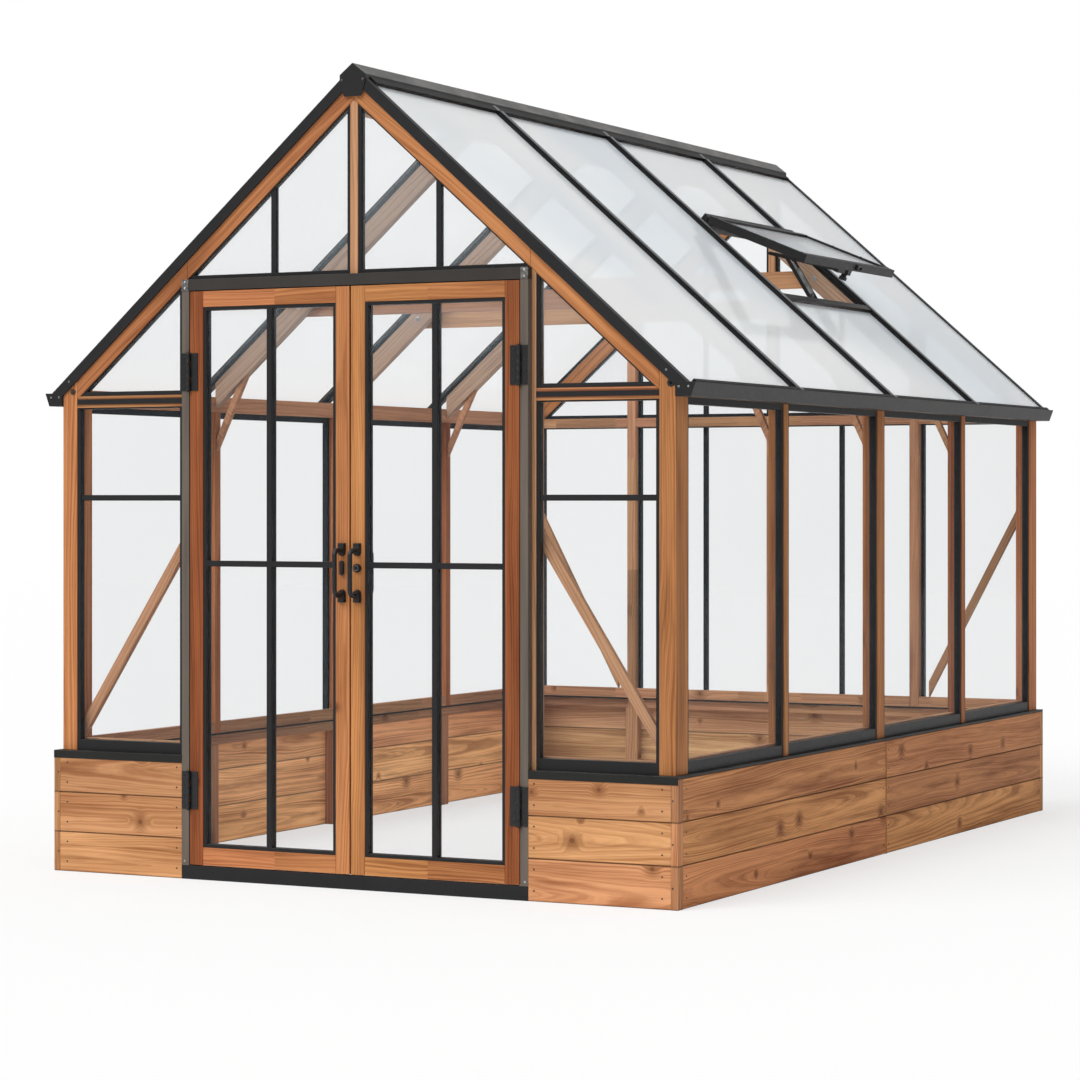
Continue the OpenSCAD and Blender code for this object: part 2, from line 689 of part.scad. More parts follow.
// A thin glazing bar, as one strip on each side of the glass
module muntin_pair() {
  for (y = [[frame_set + 3, pane_y], [pane_y + glass_t, frame_set + frame_d - 3]])
    across(y[0], y[1]) children();
}
module flat_muntin(x0, x1, z) muntin_pair()
  translate([x0 + joint_gap, z - muntin_w / 2]) square([x1 - x0 - 2 * joint_gap, muntin_w]);
module upright_muntin(x, z0, z1) muntin_pair()
  translate([x - muntin_w / 2, z0 + joint_gap]) square([muntin_w, z1 - z0 - 2 * joint_gap]);

// Mitred bars round a gable's pane
module gable_frame(x0, x1, z0) {
  pane_x = x1 - frame_side_w;
  pane_z = z0 + gable_bottom_w;
  depth = rafter_low + gable_bar_w;
  cut = is_cut(pane_x, pane_z, depth);
  outer = gable_corners(x0, x1, z0, rafter_low, cut);
  inner = gable_corners(x0 + frame_side_w, pane_x, pane_z, depth, cut);
  last = len(outer) - 1;
  for (i = [0:last]) {
    next = i == last ? 0 : i + 1;
    along = joint_gap * (outer[next] - outer[i]) / norm(outer[next] - outer[i]);
    across(frame_set, frame_set + frame_d) intersection() {
      polygon([outer[i] + along, outer[next] - along, inner[next] - along, inner[i] + along]);
      translate([x0, z0]) square([x1 - x0, apex_z]);
    }
  }
}
module gable_pane(x0, x1, z0) {
  side = frame_side_w + pane_gap;
  low_z = z0 + gable_bottom_w + pane_gap;
  depth = rafter_low + gable_bar_w + pane_gap;
  across(pane_y, pane_y + glass_t)
    polygon(gable_corners(x0 + side, x1 - side, low_z, depth, is_cut(x1 - side, low_z, depth)));
}
module gable_muntin(x, z0) muntin_pair() {
  low_z = z0 + gable_bottom_w + joint_gap;
  post_outline(x - muntin_w / 2, x + muntin_w / 2, low_z, rafter_low + gable_bar_w + joint_gap);
}

module metal_band(x0, x1) intersection() {
  across(0, frame_set + frame_d) post_outline(x0, x1, wall_z, rafter_low);
  box([x0, 1, rail_z + rail_h], [x1, frame_set + frame_d, rail_z + rail_h + rail_gap]);
}

module front_glazing_frames() color(black_metal) house() mirrored_x() on_front_wall() {
  window_frame(door_post_out, inner_x, wall_z, rail_z, frame_top_h);
  flat_muntin(door_post_out + frame_side_w, inner_x - frame_side_w, front_muntin_z);
  metal_band(door_post_out, inner_x);
  gable_frame(door_post_out, inner_x, rail_top_z);
  gable_frame(king_post_w / 2, inner_x, door_frame_h);
  gable_muntin(leaf_mid, door_frame_h);
}
module front_glass() color(clear_glass) house() mirrored_x() on_front_wall() {
  window_pane(door_post_out, inner_x, wall_z, rail_z, frame_top_h);
  gable_pane(door_post_out, inner_x, rail_top_z);
  gable_pane(king_post_w / 2, inner_x, door_frame_h);
}

module rear_glazing_frames() color(black_metal) house() mirror([0, 1, 0]) mirrored_x()
  on_front_wall() {
    for (bay = rear_bays) {
      window_frame(bay[0], bay[1], wall_z, rail_z, frame_top_h);
      gable_frame(bay[0], bay[1], rail_top_z);
    }
    // the same upright glazing bars as the doors and the front gable have
    upright_muntin(leaf_mid, wall_z + frame_bottom_h, rail_z - frame_top_h);
    gable_muntin(leaf_mid, rail_top_z);
  }
module rear_glass() color(clear_glass) house() mirror([0, 1, 0]) mirrored_x() on_front_wall()
  for (bay = rear_bays) {
    window_pane(bay[0], bay[1], wall_z, rail_z, frame_top_h);
    gable_pane(bay[0], bay[1], rail_top_z);
  }

module side_frames() on_right_wall() for (bay = [0:3])
  window_frame(bay_starts[bay], bay_ends[bay], wall_z, wall_top_z, side_top_h);
module side_panes() on_right_wall() for (bay = [0:3])
  window_pane(bay_starts[bay], bay_ends[bay], wall_z, wall_top_z, side_top_h);
module right_window_frames() color(black_metal) house() side_frames();
module left_window_frames() color(black_metal) house() mirror([1, 0, 0]) side_frames();
module right_wall_glass() color(clear_glass) house() side_panes();
module left_wall_glass() color(clear_glass) house() mirror([1, 0, 0]) side_panes();

// Half of a roof bar's section: base, web, cap and one rib
module half_bar_section() {
  rib_out = bar_cap_w / 2 - 5;
  rib_in = rib_out - bar_rib_w;
  polygon([
    [0, -bar_depth], [bar_base_w / 2, -bar_depth], [bar_base_w / 2, -seat_depth],
    [bar_web_t / 2, -seat_depth], [bar_web_t / 2, -pane_depth], [bar_cap_w / 2, -pane_depth],
    [bar_cap_w / 2, -cap_depth], [rib_out, -cap_depth], [rib_out, 0], [rib_in, 0],
    [rib_in, -cap_depth], [0, -cap_depth]
  ]);
}
module roof_bar(y) translate([pane_start, y, 0]) rotate([90, 0, 90])
  linear_extrude(pane_end - pane_start) {
    half_bar_section();
    mirror([1, 0]) half_bar_section();
  }
module roof_bars() {
  edge_y = rake_inner_y - joint_gap;
  on_slope() {
    for (y = mullion_y) roof_bar(y);
    // bar along the panes' lower edge
    box([pane_end + joint_gap, -edge_y, -seat_depth - 2], [pane_end + eave_bar_w, edge_y, 4]);
    // glazing seats on the gable rafters
    mirrored_y() box([pane_start, wall_y - rafter_t, -bar_depth], [pane_end, wall_y, -seat_depth]);
  }
  // bar along the panes' upper edge, against the ridge cap's lip
  low_end = slope_point(pane_start - joint_gap, bar_depth);
  high_end = slope_point(pane_start - joint_gap, 4);
  across(-edge_y, edge_y) polygon([
    [head_bar_x, roof_z(head_bar_x, 4)], [head_bar_x, roof_z(head_bar_x, bar_depth)],
    low_end, high_end
  ]);
}
module right_roof_bars() color(black_metal) house() roof_bars();
module left_roof_bars() color(black_metal) house() mirror([1, 0, 0]) roof_bars();

module roof_pane(s0, s1, y0, y1) on_slope() box(
  [s0 + pane_gap, y0, -seat_depth], [s1 - pane_gap, y1, -pane_depth]);
module whole_roof_pane(bay) {
  sides = pane_sides(bay);
  roof_pane(pane_start, pane_end, sides[0], sides[1]);
}
module left_roof_glass() color(clear_glass) house() mirror([1, 0, 0])
  for (bay = [0:3]) whole_roof_pane(bay);
module right_roof_glass() color(clear_glass) house() {
  for (bay = [0, 1, 3]) whole_roof_pane(bay);
  // the vent's bay has one pane above the opening and one below it
  sides = pane_sides(2);
  roof_pane(pane_start, vent_s0 - curb_w, sides[0], sides[1]);
  roof_pane(vent_s1 + curb_w, pane_end, sides[0], sides[1]);
}

module ridge_cap() color(black_metal) house() {
  shoulder_z = ridge_cap_z - ridge_cap_drop;
  in_x = ridge_cap_half - sheet_t;
  // one length for each bay, with fine joints over the roof bars
  ends = [-rake_y, mullion_y[0], mullion_y[1], mullion_y[2], rake_y];
  for (i = [0:3]) across(ends[i] + (i > 0 ? joint_gap : 0), ends[i + 1]) polygon([
    [-ridge_cap_half, shoulder_z - ridge_lip_h], [-ridge_cap_half, shoulder_z], [0, ridge_cap_z],
    [ridge_cap_half, shoulder_z], [ridge_cap_half, shoulder_z - ridge_lip_h],
    [in_x, shoulder_z - ridge_lip_h], [in_x, shoulder_z - sheet_t / 2],
    [0, ridge_cap_z - sheet_t * 1.3], [-in_x, shoulder_z - sheet_t / 2],
    [-in_x, shoulder_z - ridge_lip_h]
  ]);
}

// The rake trim's outline between two depths, clear of the ridge cap and the gutter
module rake_outline(depth) difference() {
  sloped_outline(0, roof_x(gutter_top_z, rake_drop), rake_drop, depth);
  lip_z = ridge_cap_z - ridge_cap_drop - ridge_lip_h - pane_gap;
  translate([-1, lip_z]) square([ridge_cap_half + pane_gap + 1, ridge_lip_h * 3]);
  translate([wall_x, 0]) square([gutter_w * 2, gutter_top_z]);
}
module rake_trims() color(black_metal) house() mirrored_x() mirrored_y() {
  across(wall_y, rake_y) rake_outline(rake_h);
  // flange over the edge of the glass
  across(rake_inner_y, wall_y) rake_outline(pane_depth - joint_gap);
}

module gutters() color(black_metal) house() mirrored_x() translate([wall_x, 0, gutter_top_z - gutter_h])
  across(sheet_t - rake_y, rake_y - sheet_t) polygon([
    [0, 0], [gutter_bottom_w, 0], [gutter_w, gutter_h], [gutter_w - gutter_lip, gutter_h],
    [gutter_w - gutter_lip, gutter_h - gutter_t], [gutter_w - gutter_t * 1.6, gutter_h - gutter_t],
    [gutter_bottom_w - gutter_t * 0.8, gutter_t], [gutter_t, gutter_t], [gutter_t, gutter_h],
    [0, gutter_h]
  ]);

module roof_end_caps() color(black_metal) house() mirrored_y() {
  shoulder_z = ridge_cap_z - ridge_cap_drop;
  foot_half = ridge_cap_half * 2 / 3;
  across(rake_y, rake_y + sheet_t) polygon([
    [0, ridge_cap_z], [ridge_cap_half, shoulder_z], [ridge_cap_half, shoulder_z - ridge_lip_h],
    [foot_half, ridge_cap_z - ridge_plate_h], [-foot_half, ridge_cap_z - ridge_plate_h],
    [-ridge_cap_half, shoulder_z - ridge_lip_h], [-ridge_cap_half, shoulder_z]
  ]);
  mirrored_x() across(rake_y - sheet_t + joint_gap, rake_y) polygon([
    [wall_x, gutter_top_z - gutter_h], [wall_x + gutter_bottom_w, gutter_top_z - gutter_h],
    [wall_x + gutter_w, gutter_top_z - joint_gap], [wall_x, gutter_top_z - joint_gap]
  ]);
}

// Everything on the vent is placed from its hinge: X runs down the slope and Z out of the roof
module at_vent_hinge() on_slope() translate([vent_hinge_s, vent_mid_y, vent_hinge_z]) children();
module open_sash() at_vent_hinge() rotate([0, -vent_open, 0]) children();

module vent_curb() color(black_metal) house() at_vent_hinge() {
  half = vent_half - bar_cap_w / 2 - pane_gap;
  top = -vent_hinge_z - 2;
  low = -vent_hinge_z - bar_depth;
  box([-curb_w / 2, -half, low], [curb_w / 2, half, top]);
  // weather strip behind the hinge, over the edge of the pane above
  box([-curb_w / 2 - curb_strip_lap, -half, joint_gap - vent_hinge_z - pane_depth],
      [-2 * vent_pin_r, half, curb_strip_h]);
  box([curb_face, -half, low], [curb_face + curb_w, half, top]);
  // ears that carry the hinge's rod
  for (y = [-rod_half, 0, rod_half]) translate([0, y - vent_ear_t / 2, 0]) {
    box([-vent_pin_r - 2, 0, top], [vent_pin_r + 2, vent_ear_t, 0]);
    rotate([-90, 0, 0]) cylinder(r = vent_pin_r + 2, h = vent_ear_t);
  }
  translate([0, -rod_half, 0]) rotate([-90, 0, 0]) cylinder(r = vent_pin_r, h = rod_half * 2);
}

module vent_sash() color(black_metal) house() open_sash() {
  rail_end = sash_end - sash_rail_w;
  knuckle_r = vent_pin_r + 2.5;
  mirrored_y() box([sash_start, sash_half - sash_rail_w, sash_low], [sash_end, sash_half, sash_high]);
  inner_half = sash_half - sash_rail_w - joint_gap;
  difference() {
    union() {
      box([sash_start, -inner_half, sash_low], [sash_start + sash_rail_w, inner_half, sash_high]);
      mirrored_y() translate([0, rod_half / 2 - vent_knuckle_len / 2, 0]) {
        rotate([-90, 0, 0]) cylinder(r = knuckle_r, h = vent_knuckle_len);
        box([0, 0, 0], [sash_start + 1, vent_knuckle_len, knuckle_r]);
      }
    }
    translate([0, -rod_half, 0]) rotate([-90, 0, 0])
      cylinder(r = vent_pin_r + pin_clearance, h = rod_half * 2);
  }
  box([rail_end, -inner_half, sash_low], [sash_end, inner_half, sash_high]);
  // bracket of the opener, with a pin between its ears
  ear_end = opener_plane + opener_arm_t;
  ear_low = sash_pivot[1] - bracket_ear_r;
  box([rail_end - bracket_t, -ear_end - bracket_t, ear_low], [rail_end, ear_end + bracket_t, 0]);
  mirrored_y() box([sash_pivot[0] - bracket_ear_r, opener_plane, ear_low],
                   [rail_end - bracket_t, ear_end, sash_low]);
  translate([sash_pivot[0], -ear_end, sash_pivot[1]]) rotate([-90, 0, 0])
    cylinder(r = opener_pin_r, h = 2 * ear_end);
  // clamp that holds the closed sash
  translate([rail_end, clamp_offset, 0]) {
    box([-clamp_w + 2, -clamp_w / 2, -34], [4, clamp_w / 2, sash_low]);
    translate([-clamp_w / 2 + 2, 0, -44]) cylinder(r = clamp_w / 3, h = 11);
  }
}

module vent_glass() color(clear_glass) house() open_sash() {
  half = sash_half - sash_rail_w - pane_gap;
  low = sash_high - sash_pane_set;
  box([sash_start + sash_rail_w + pane_gap, -half, low],
      [sash_end - sash_rail_w - pane_gap, half, low + glass_t]);
}

module opener_bracket() color(black_metal) house() at_vent_hinge() {
  ear_y = opener_plane + opener_arm_t + running_gap;
  ear_end = ear_y + bracket_t;
  ear_low = foot[1] - bracket_ear_r;
  plate_half = ear_end + bracket_ear_r;
  box([curb_face - bracket_t, -plate_half, ear_low], [curb_face, plate_half, -vent_hinge_z - 4]);
  mirrored_y() box([foot[0] - bracket_ear_r, ear_y, ear_low],
                   [curb_face - bracket_t, ear_end, foot[1] + bracket_ear_r]);
  translate([foot[0], -ear_end, foot[1]]) rotate([-90, 0, 0])
    cylinder(r = opener_pin_r, h = 2 * ear_end);
}

// A flat arm from its pivot past the crossing, with a bored eye at the pivot
module opener_arm(y) across(y, y + opener_arm_t) difference() {
  half_w = opener_arm_w / 2;
  union() {
    circle(r = half_w);
    translate([0, -half_w]) square([opener_arm_len + opener_tail, opener_arm_w]);
    translate([opener_arm_len + opener_tail, 0]) circle(r = half_w);
  }
  circle(r = opener_pin_r + pin_clearance);
}
// A pin along Y between two values, at a distance along an arm
module cross_pin(x, y0, y1) translate([x, y0, 0]) rotate([-90, 0, 0])
  cylinder(r = cross_pin_r, h = y1 - y0);
module at_lower_arm() at_vent_hinge() translate([foot[0], 0, foot[1]])
  rotate([0, -lower_arm_angle, 0]) children();
module at_upper_arm() at_vent_hinge() translate([open_pivot[0], 0, open_pivot[1]])
  rotate([0, -upper_arm_angle, 0]) children();

module opener_lower_arms() color(black_metal) house() at_lower_arm() {
  for (y = [-opener_plane - opener_arm_t, opener_plane]) opener_arm(y);
  cross_pin(lower_pin_x, -opener_plane, opener_plane);
  // rivet heads at the crossing
  mirrored_y() translate([opener_arm_len, opener_plane + opener_arm_t, 0]) rotate([-90, 0, 0])
    cylinder(r = opener_pin_r + 2, h = 2);
}
module opener_upper_arms() color(black_metal) house() at_upper_arm() {
  inner = opener_plane - running_gap;
  for (y = [-inner, inner - opener_arm_t]) opener_arm(y);
  cross_pin(upper_pin_x, opener_arm_t - inner, inner - opener_arm_t);
}
// The wax-filled cylinder hangs on the lower arms' cross pin, and its rod points to the crossing
module opener_cylinder() color([0.35, 0.35, 0.37]) house() at_lower_arm() difference() {
  eye_r = cross_pin_r + 5;
  body_end = lower_pin_x + eye_r + opener_cylinder_len;
  union() {
    translate([lower_pin_x, -eye_r, 0]) rotate([-90, 0, 0]) cylinder(r = eye_r, h = eye_r * 2);
    translate([lower_pin_x + eye_r - 2, 0, 0]) rotate([0, 90, 0])
      cylinder(d = opener_cylinder_d, h = opener_cylinder_len + 2);
    translate([body_end, 0, 0]) rotate([0, 90, 0]) {
      cylinder(r = eye_r / 2, h = opener_rod_len);
      // coils of the return spring
      for (i = [0:4]) translate([0, 0, 2 + i * opener_rod_len / 6]) cylinder(r = eye_r * 0.8, h = 2.5);
    }
  }
  cross_pin_hole_r = cross_pin_r + pin_clearance;
  translate([lower_pin_x, -eye_r - 1, 0]) rotate([-90, 0, 0])
    cylinder(r = cross_pin_hole_r, h = eye_r * 2 + 2);
}

// The right-hand leaf; the left-hand one is its mirror image
module leaf_timber() {
  y0 = leaf_face_y;
  y1 = leaf_face_y + leaf_t;
  for (x = [leaf_in, leaf_out - stile_w]) box([x, y0, leaf_bottom], [x + stile_w, y1, leaf_top]);
  x0 = leaf_in + stile_w + joint_gap;
  x1 = leaf_out - stile_w - joint_gap;
  box([x0, y0, leaf_bottom], [x1, y1, leaf_bottom + bottom_rail_h]);
  box([x0, y0, leaf_top - top_rail_h], [x1, y1, leaf_top]);
}
// Glazing stops and bars, one set on each side of the glass
module leaf_glazing_bars() {
  x0 = leaf_in + stile_w;
  x1 = leaf_out - stile_w;
  z0 = leaf_bottom + bottom_rail_h;
  z1 = leaf_top - top_rail_h;
  face = leaf_face_y + stop_set;
  glass_face = leaf_face_y + (leaf_t - glass_t) / 2;
  back = leaf_face_y + leaf_t - stop_set;
  half = muntin_w / 2;
  for (y = [[face, glass_face], [glass_face + glass_t, back]]) {
    for (x = [x0, x1 - stop_w]) box([x, y[0], z0], [x + stop_w, y[1], z1]);
    for (z = [z0, z1 - stop_w])
      box([x0 + stop_w + joint_gap, y[0], z], [x1 - stop_w - joint_gap, y[1], z + stop_w]);
    box([leaf_mid - half, y[0], z0 + stop_w + joint_gap],
        [leaf_mid + half, y[1], z1 - stop_w - joint_gap]);
    for (x = [[x0 + stop_w, leaf_mid - half], [leaf_mid + half, x1 - stop_w]])
      box([x[0] + joint_gap, y[0], leaf_muntin_z - half], [x[1] - joint_gap, y[1], leaf_muntin_z + half]);
  }
}
module leaf_glass() {
  y0 = leaf_face_y + (leaf_t - glass_t) / 2;
  box([leaf_in + stile_w + pane_gap, y0, leaf_bottom + bottom_rail_h + pane_gap],
      [leaf_out - stile_w - pane_gap, y0 + glass_t, leaf_top - top_rail_h - pane_gap]);
}

// Knuckles from first to last in steps of two, round the hinge's axis
module knuckles(first) for (i = [first:2:hinge_knuckles - 1])
  translate([0, 0, i * knuckle_h + running_gap / 2]) cylinder(r = hinge_r, h = knuckle_h - running_gap);
module knuckle_tabs(first, low, high) for (i = [first:2:hinge_knuckles - 1])
  translate([0, 0, i * knuckle_h + running_gap / 2])
    box([low[0], low[1], 0], [high[0], high[1], knuckle_h - running_gap]);
module at_hinges() for (z = [lower_hinge_z, upper_hinge_z])
  translate([hinge_x, hinge_y, z - hinge_h / 2]) children();

module leaf_hinges() at_hinges() difference() {
  face = leaf_face_y - hinge_y;
  union() {
    knuckles(0);
    knuckle_tabs(0, [-hinge_r - 1, face - hinge_leaf_t], [0, face]);
    box([-hinge_r - 1 - hinge_leaf_w, face - hinge_leaf_t, 0], [-hinge_r - 1, face, hinge_h]);
  }
  translate([0, 0, -1]) cylinder(r = hinge_pin_r + pin_clearance, h = hinge_h + 2);
}
module jamb_hinges() at_hinges() {
  face = -base_y - hinge_y;
  plate_end = door_half - hinge_x - 2;
  knuckles(1);
  knuckle_tabs(1, [0, face - hinge_leaf_t], [hinge_r + 1, face]);
  box([hinge_r + 1, face - hinge_leaf_t, 0], [plate_end, face, hinge_h]);
  // the pin, with a head at each end
  translate([0, 0, -running_gap]) cylinder(r = hinge_pin_r, h = hinge_h + 2 * running_gap);
  for (z = [-pin_head_h - running_gap, hinge_h + running_gap]) translate([0, 0, z])
    cylinder(r = hinge_r - 1, h = pin_head_h);
}
module jamb_hinge_leaves() color(black_metal) house() mirrored_x() jamb_hinges();

// A tapered base, square at its outer end and round at the end towards the grip's middle
module handle_base() {
  half_w = handle_base_w / 2;
  top_half = half_w - handle_base_t * 0.15;
  round_z = half_w - handle_base_h / 2 + 2;
  translate([0, 0, round_z]) {
    rotate([90, 0, 0]) cylinder(r1 = half_w, r2 = top_half, h = handle_base_t);
    linear_extrude(handle_base_h / 2 + 2 - round_z)
      polygon([[-half_w, 0], [-top_half, -handle_base_t], [top_half, -handle_base_t], [half_w, 0]]);
  }
}
// A D-shaped pull that stands out towards -Y, from its two bases round both bends
module pull() {
  grip_r = grip_d / 2;
  bend = grip_d * 1.2;
  grip_y = -handle_reach + grip_r;
  half_span = handle_span / 2;
  for (side = [-1, 1]) {
    translate([0, 0, side * half_span]) mirror([0, 0, side < 0 ? 1 : 0]) {
      handle_base();
      rotate([90, 0, 0]) cylinder(r = grip_r * 1.2, h = handle_base_t + 4);
      rotate([90, 0, 0]) cylinder(r = grip_r, h = -grip_y - bend);
    }
    translate([0, grip_y + bend, side * (half_span - bend)]) mirror([0, 0, side < 0 ? 1 : 0])
      rotate([0, -90, 0]) rotate([0, 0, -90]) rotate_extrude(angle = 90)
        translate([bend, 0]) circle(r = grip_r);
  }
  translate([0, grip_y, bend - half_span]) cylinder(r = grip_r, h = handle_span - 2 * bend);
}
module leaf_handles() {
  translate([handle_x, leaf_face_y, handle_z]) pull();
  translate([handle_x, leaf_face_y + leaf_t, handle_z]) mirror([0, 1, 0]) pull();
}

module right_door_timber() color(cedar) house() leaf_timber();
module right_door_glazing_bars() color(black_metal) house() leaf_glazing_bars();
module right_door_glass() color(clear_glass) house() leaf_glass();
module right_door_hinge_leaves() color(black_metal) house() leaf_hinges();
module right_door_handles() color(black_metal) house() leaf_handles();
module left_door_timber() color(cedar) house() mirror([1, 0, 0]) leaf_timber();
module left_door_glazing_bars() color(black_metal) house() mirror([1, 0, 0]) leaf_glazing_bars();
module left_door_glass() color(clear_glass) house() mirror([1, 0, 0]) leaf_glass();
module left_door_hinge_leaves() color(black_metal) house() mirror([1, 0, 0]) leaf_hinges();
module left_door_handles() color(black_metal) house() mirror([1, 0, 0]) leaf_handles();

// Both locks sit on the leaf's face with a spindle or barrel in the stile
module thumb_turn() color(black_metal) house()
  translate([-handle_x, leaf_face_y - running_gap, lock_z]) rotate([90, 0, 0]) {
    straight = thumb_turn_h - thumb_turn_w;
    cylinder(d = thumb_turn_w - 2, h = thumb_turn_collar_h);
    translate([0, 0, thumb_turn_collar_h]) linear_extrude(thumb_turn_t - thumb_turn_collar_h) {
      square([thumb_turn_w, straight], center = true);
      for (y = [-straight / 2, straight / 2]) translate([0, y]) circle(d = thumb_turn_w);
    }
  }
module key_cylinder() color(black_metal) house()
  translate([handle_x, leaf_face_y - running_gap, lock_z]) rotate([90, 0, 0]) difference() {
    union() {
      cylinder(d = key_cylinder_d, h = key_cylinder_t - 3);
      cylinder(d = key_cylinder_d - 6, h = key_cylinder_t);
    }
    translate([-1, -5, key_cylinder_t - 4]) cube([2, 10, 5]);
  }

front_base_boards();
left_base_boards();
right_base_boards();
rear_base_boards();
base_corner_trims();
base_inner_frame();
base_flashing();
corner_posts();
door_posts();
left_wall_mullions();
right_wall_mullions();
eave_beams();
front_wall_rails();
rear_wall_timbers();
front_gable_rafters();
rear_gable_rafters();
gable_king_posts();
inner_rafters();
ridge_beam();
collar_ties();
braces();
door_frame();
door_threshold();
front_glazing_frames();
left_window_frames();
right_window_frames();
rear_glazing_frames();
left_roof_bars();
right_roof_bars();
ridge_cap();
rake_trims();
gutters();
roof_end_caps();
vent_curb();
front_glass();
rear_glass();
left_wall_glass();
right_wall_glass();
left_roof_glass();
right_roof_glass();
jamb_hinge_leaves();
left_door_timber();
left_door_glazing_bars();
left_door_glass();
left_door_hinge_leaves();
left_door_handles();
thumb_turn();
right_door_timber();
right_door_glazing_bars();
right_door_glass();
right_door_hinge_leaves();
right_door_handles();
key_cylinder();
vent_sash();
vent_glass();
opener_bracket();
opener_lower_arms();
opener_upper_arms();
opener_cylinder();
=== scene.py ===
import math
import bmesh
import bpy
from mathutils import Matrix, Vector


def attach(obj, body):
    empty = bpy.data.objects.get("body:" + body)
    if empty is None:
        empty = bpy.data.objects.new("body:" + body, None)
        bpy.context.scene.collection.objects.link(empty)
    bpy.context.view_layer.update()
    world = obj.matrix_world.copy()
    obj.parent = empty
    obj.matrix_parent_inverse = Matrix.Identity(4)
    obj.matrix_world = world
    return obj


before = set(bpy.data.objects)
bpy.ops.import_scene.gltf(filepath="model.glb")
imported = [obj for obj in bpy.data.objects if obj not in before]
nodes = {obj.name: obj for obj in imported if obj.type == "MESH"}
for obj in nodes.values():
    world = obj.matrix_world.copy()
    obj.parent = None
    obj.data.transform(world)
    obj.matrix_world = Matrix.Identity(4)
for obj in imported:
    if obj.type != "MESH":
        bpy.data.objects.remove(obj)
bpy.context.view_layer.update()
scene = bpy.context.scene

houseY = 0.0295  # the row's Y of the house's middle
pitch = math.radians(41.2)
slopeRun = (math.cos(pitch), 0.0, -math.sin(pitch))
slopeOut = (math.sin(pitch), 0.0, math.cos(pitch))
apexZ = 2.7926  # where the roof's two upper faces would meet
rowHeight = 0.14  # of one base board
bay = 0.899  # from one roof bar to the next
frontFace, sideFace = 1.829, 1.219  # of the base boards, from the house's middle


# node helpers: a value is either a number, a colour or a vector to set, or a socket to link

def put(tree, kind, values=None, **settings):
    node = tree.nodes.new(kind)
    for key, value in settings.items():
        setattr(node, key, value)
    for key, value in (values or {}).items():
        if isinstance(value, bpy.types.NodeSocket):
            tree.links.new(value, node.inputs[key])
        else:
            node.inputs[key].default_value = value
    return node


def calc(tree, operation, *values, clamp=False):
    node = put(tree, "ShaderNodeMath", dict(enumerate(values)), operation=operation, use_clamp=clamp)
    return node.outputs[0]


def vectorCalc(tree, operation, *values):
    node = put(tree, "ShaderNodeVectorMath", dict(enumerate(values)), operation=operation)
    return node.outputs["Value" if operation in ("DOT_PRODUCT", "LENGTH") else "Vector"]


def scaled(tree, vector, factor):
    node = put(tree, "ShaderNodeVectorMath", {"Vector": vector, "Scale": factor}, operation="SCALE")
    return node.outputs["Vector"]


def ramped(tree, value, low, high, toLow=0.0, toHigh=1.0):
    values = {"Value": value, "From Min": low, "From Max": high, "To Min": toLow, "To Max": toHigh}
    return put(tree, "ShaderNodeMapRange", values, interpolation_type="SMOOTHSTEP").outputs["Result"]


def noise(tree, vector, scale, detail=2.0, roughness=0.5):
    values = {"Vector": vector, "Scale": scale, "Detail": detail, "Roughness": roughness}
    return put(tree, "ShaderNodeTexNoise", values).outputs["Fac"]


def mixed(tree, factor, first, second, blend="MIX"):
    values = {0: factor, 6: first, 7: second}
    return put(tree, "ShaderNodeMix", values, data_type="RGBA", blend_type=blend).outputs[2]


def mixedVector(tree, factor, first, second):
    values = {0: factor, 4: first, 5: second}
    return put(tree, "ShaderNodeMix", values, data_type="VECTOR").outputs[1]


def split(tree, vector):
    return put(tree, "ShaderNodeSeparateXYZ", {"Vector": vector}).outputs


def facingUp(tree):
    # the Z of the surface's normal
    return split(tree, put(tree, "ShaderNodeNewGeometry").outputs["Normal"])["Z"]


def between(tree, value, low, high):
    above = calc(tree, "GREATER_THAN", value, low)
    return calc(tree, "MULTIPLY", above, calc(tree, "LESS_THAN", value, high))


def makeGroup(name, given, made):
    tree = bpy.data.node_groups.new(name, "ShaderNodeTree")
    for label, kind, value in given:
        socket = tree.interface.new_socket(label, in_out="INPUT", socket_type="NodeSocket" + kind)
        socket.default_value = value
    for label, kind in made:
        tree.interface.new_socket(label, in_out="OUTPUT", socket_type="NodeSocket" + kind)
    return tree, tree.nodes.new("NodeGroupInput").outputs, tree.nodes.new("NodeGroupOutput").inputs


def makeBoardId():
    # which board a point lies on, as a random number, and where it lies on that board
    tree, given, made = makeGroup(
        "boardId",
        [("Position", "Vector", (0, 0, 0)), ("Cell", "Vector", (1, 1, 1)), ("Shift", "Vector", (0, 0, 0))],
        [("Board", "Float"), ("Local", "Vector")])
    shifted = vectorCalc(tree, "ADD", given["Position"], given["Shift"])
    index = vectorCalc(tree, "FLOOR", vectorCalc(tree, "DIVIDE", shifted, given["Cell"]))
    dice = put(tree, "ShaderNodeTexWhiteNoise", {"Vector": index}, noise_dimensions="3D")
    middle = vectorCalc(tree, "MULTIPLY", vectorCalc(tree, "ADD", index, (0.5, 0.5, 0.5)), given["Cell"])
    tree.links.new(dice.outputs["Value"], made["Board"])
    tree.links.new(vectorCalc(tree, "SUBTRACT", shifted, middle), made["Local"])
    return tree


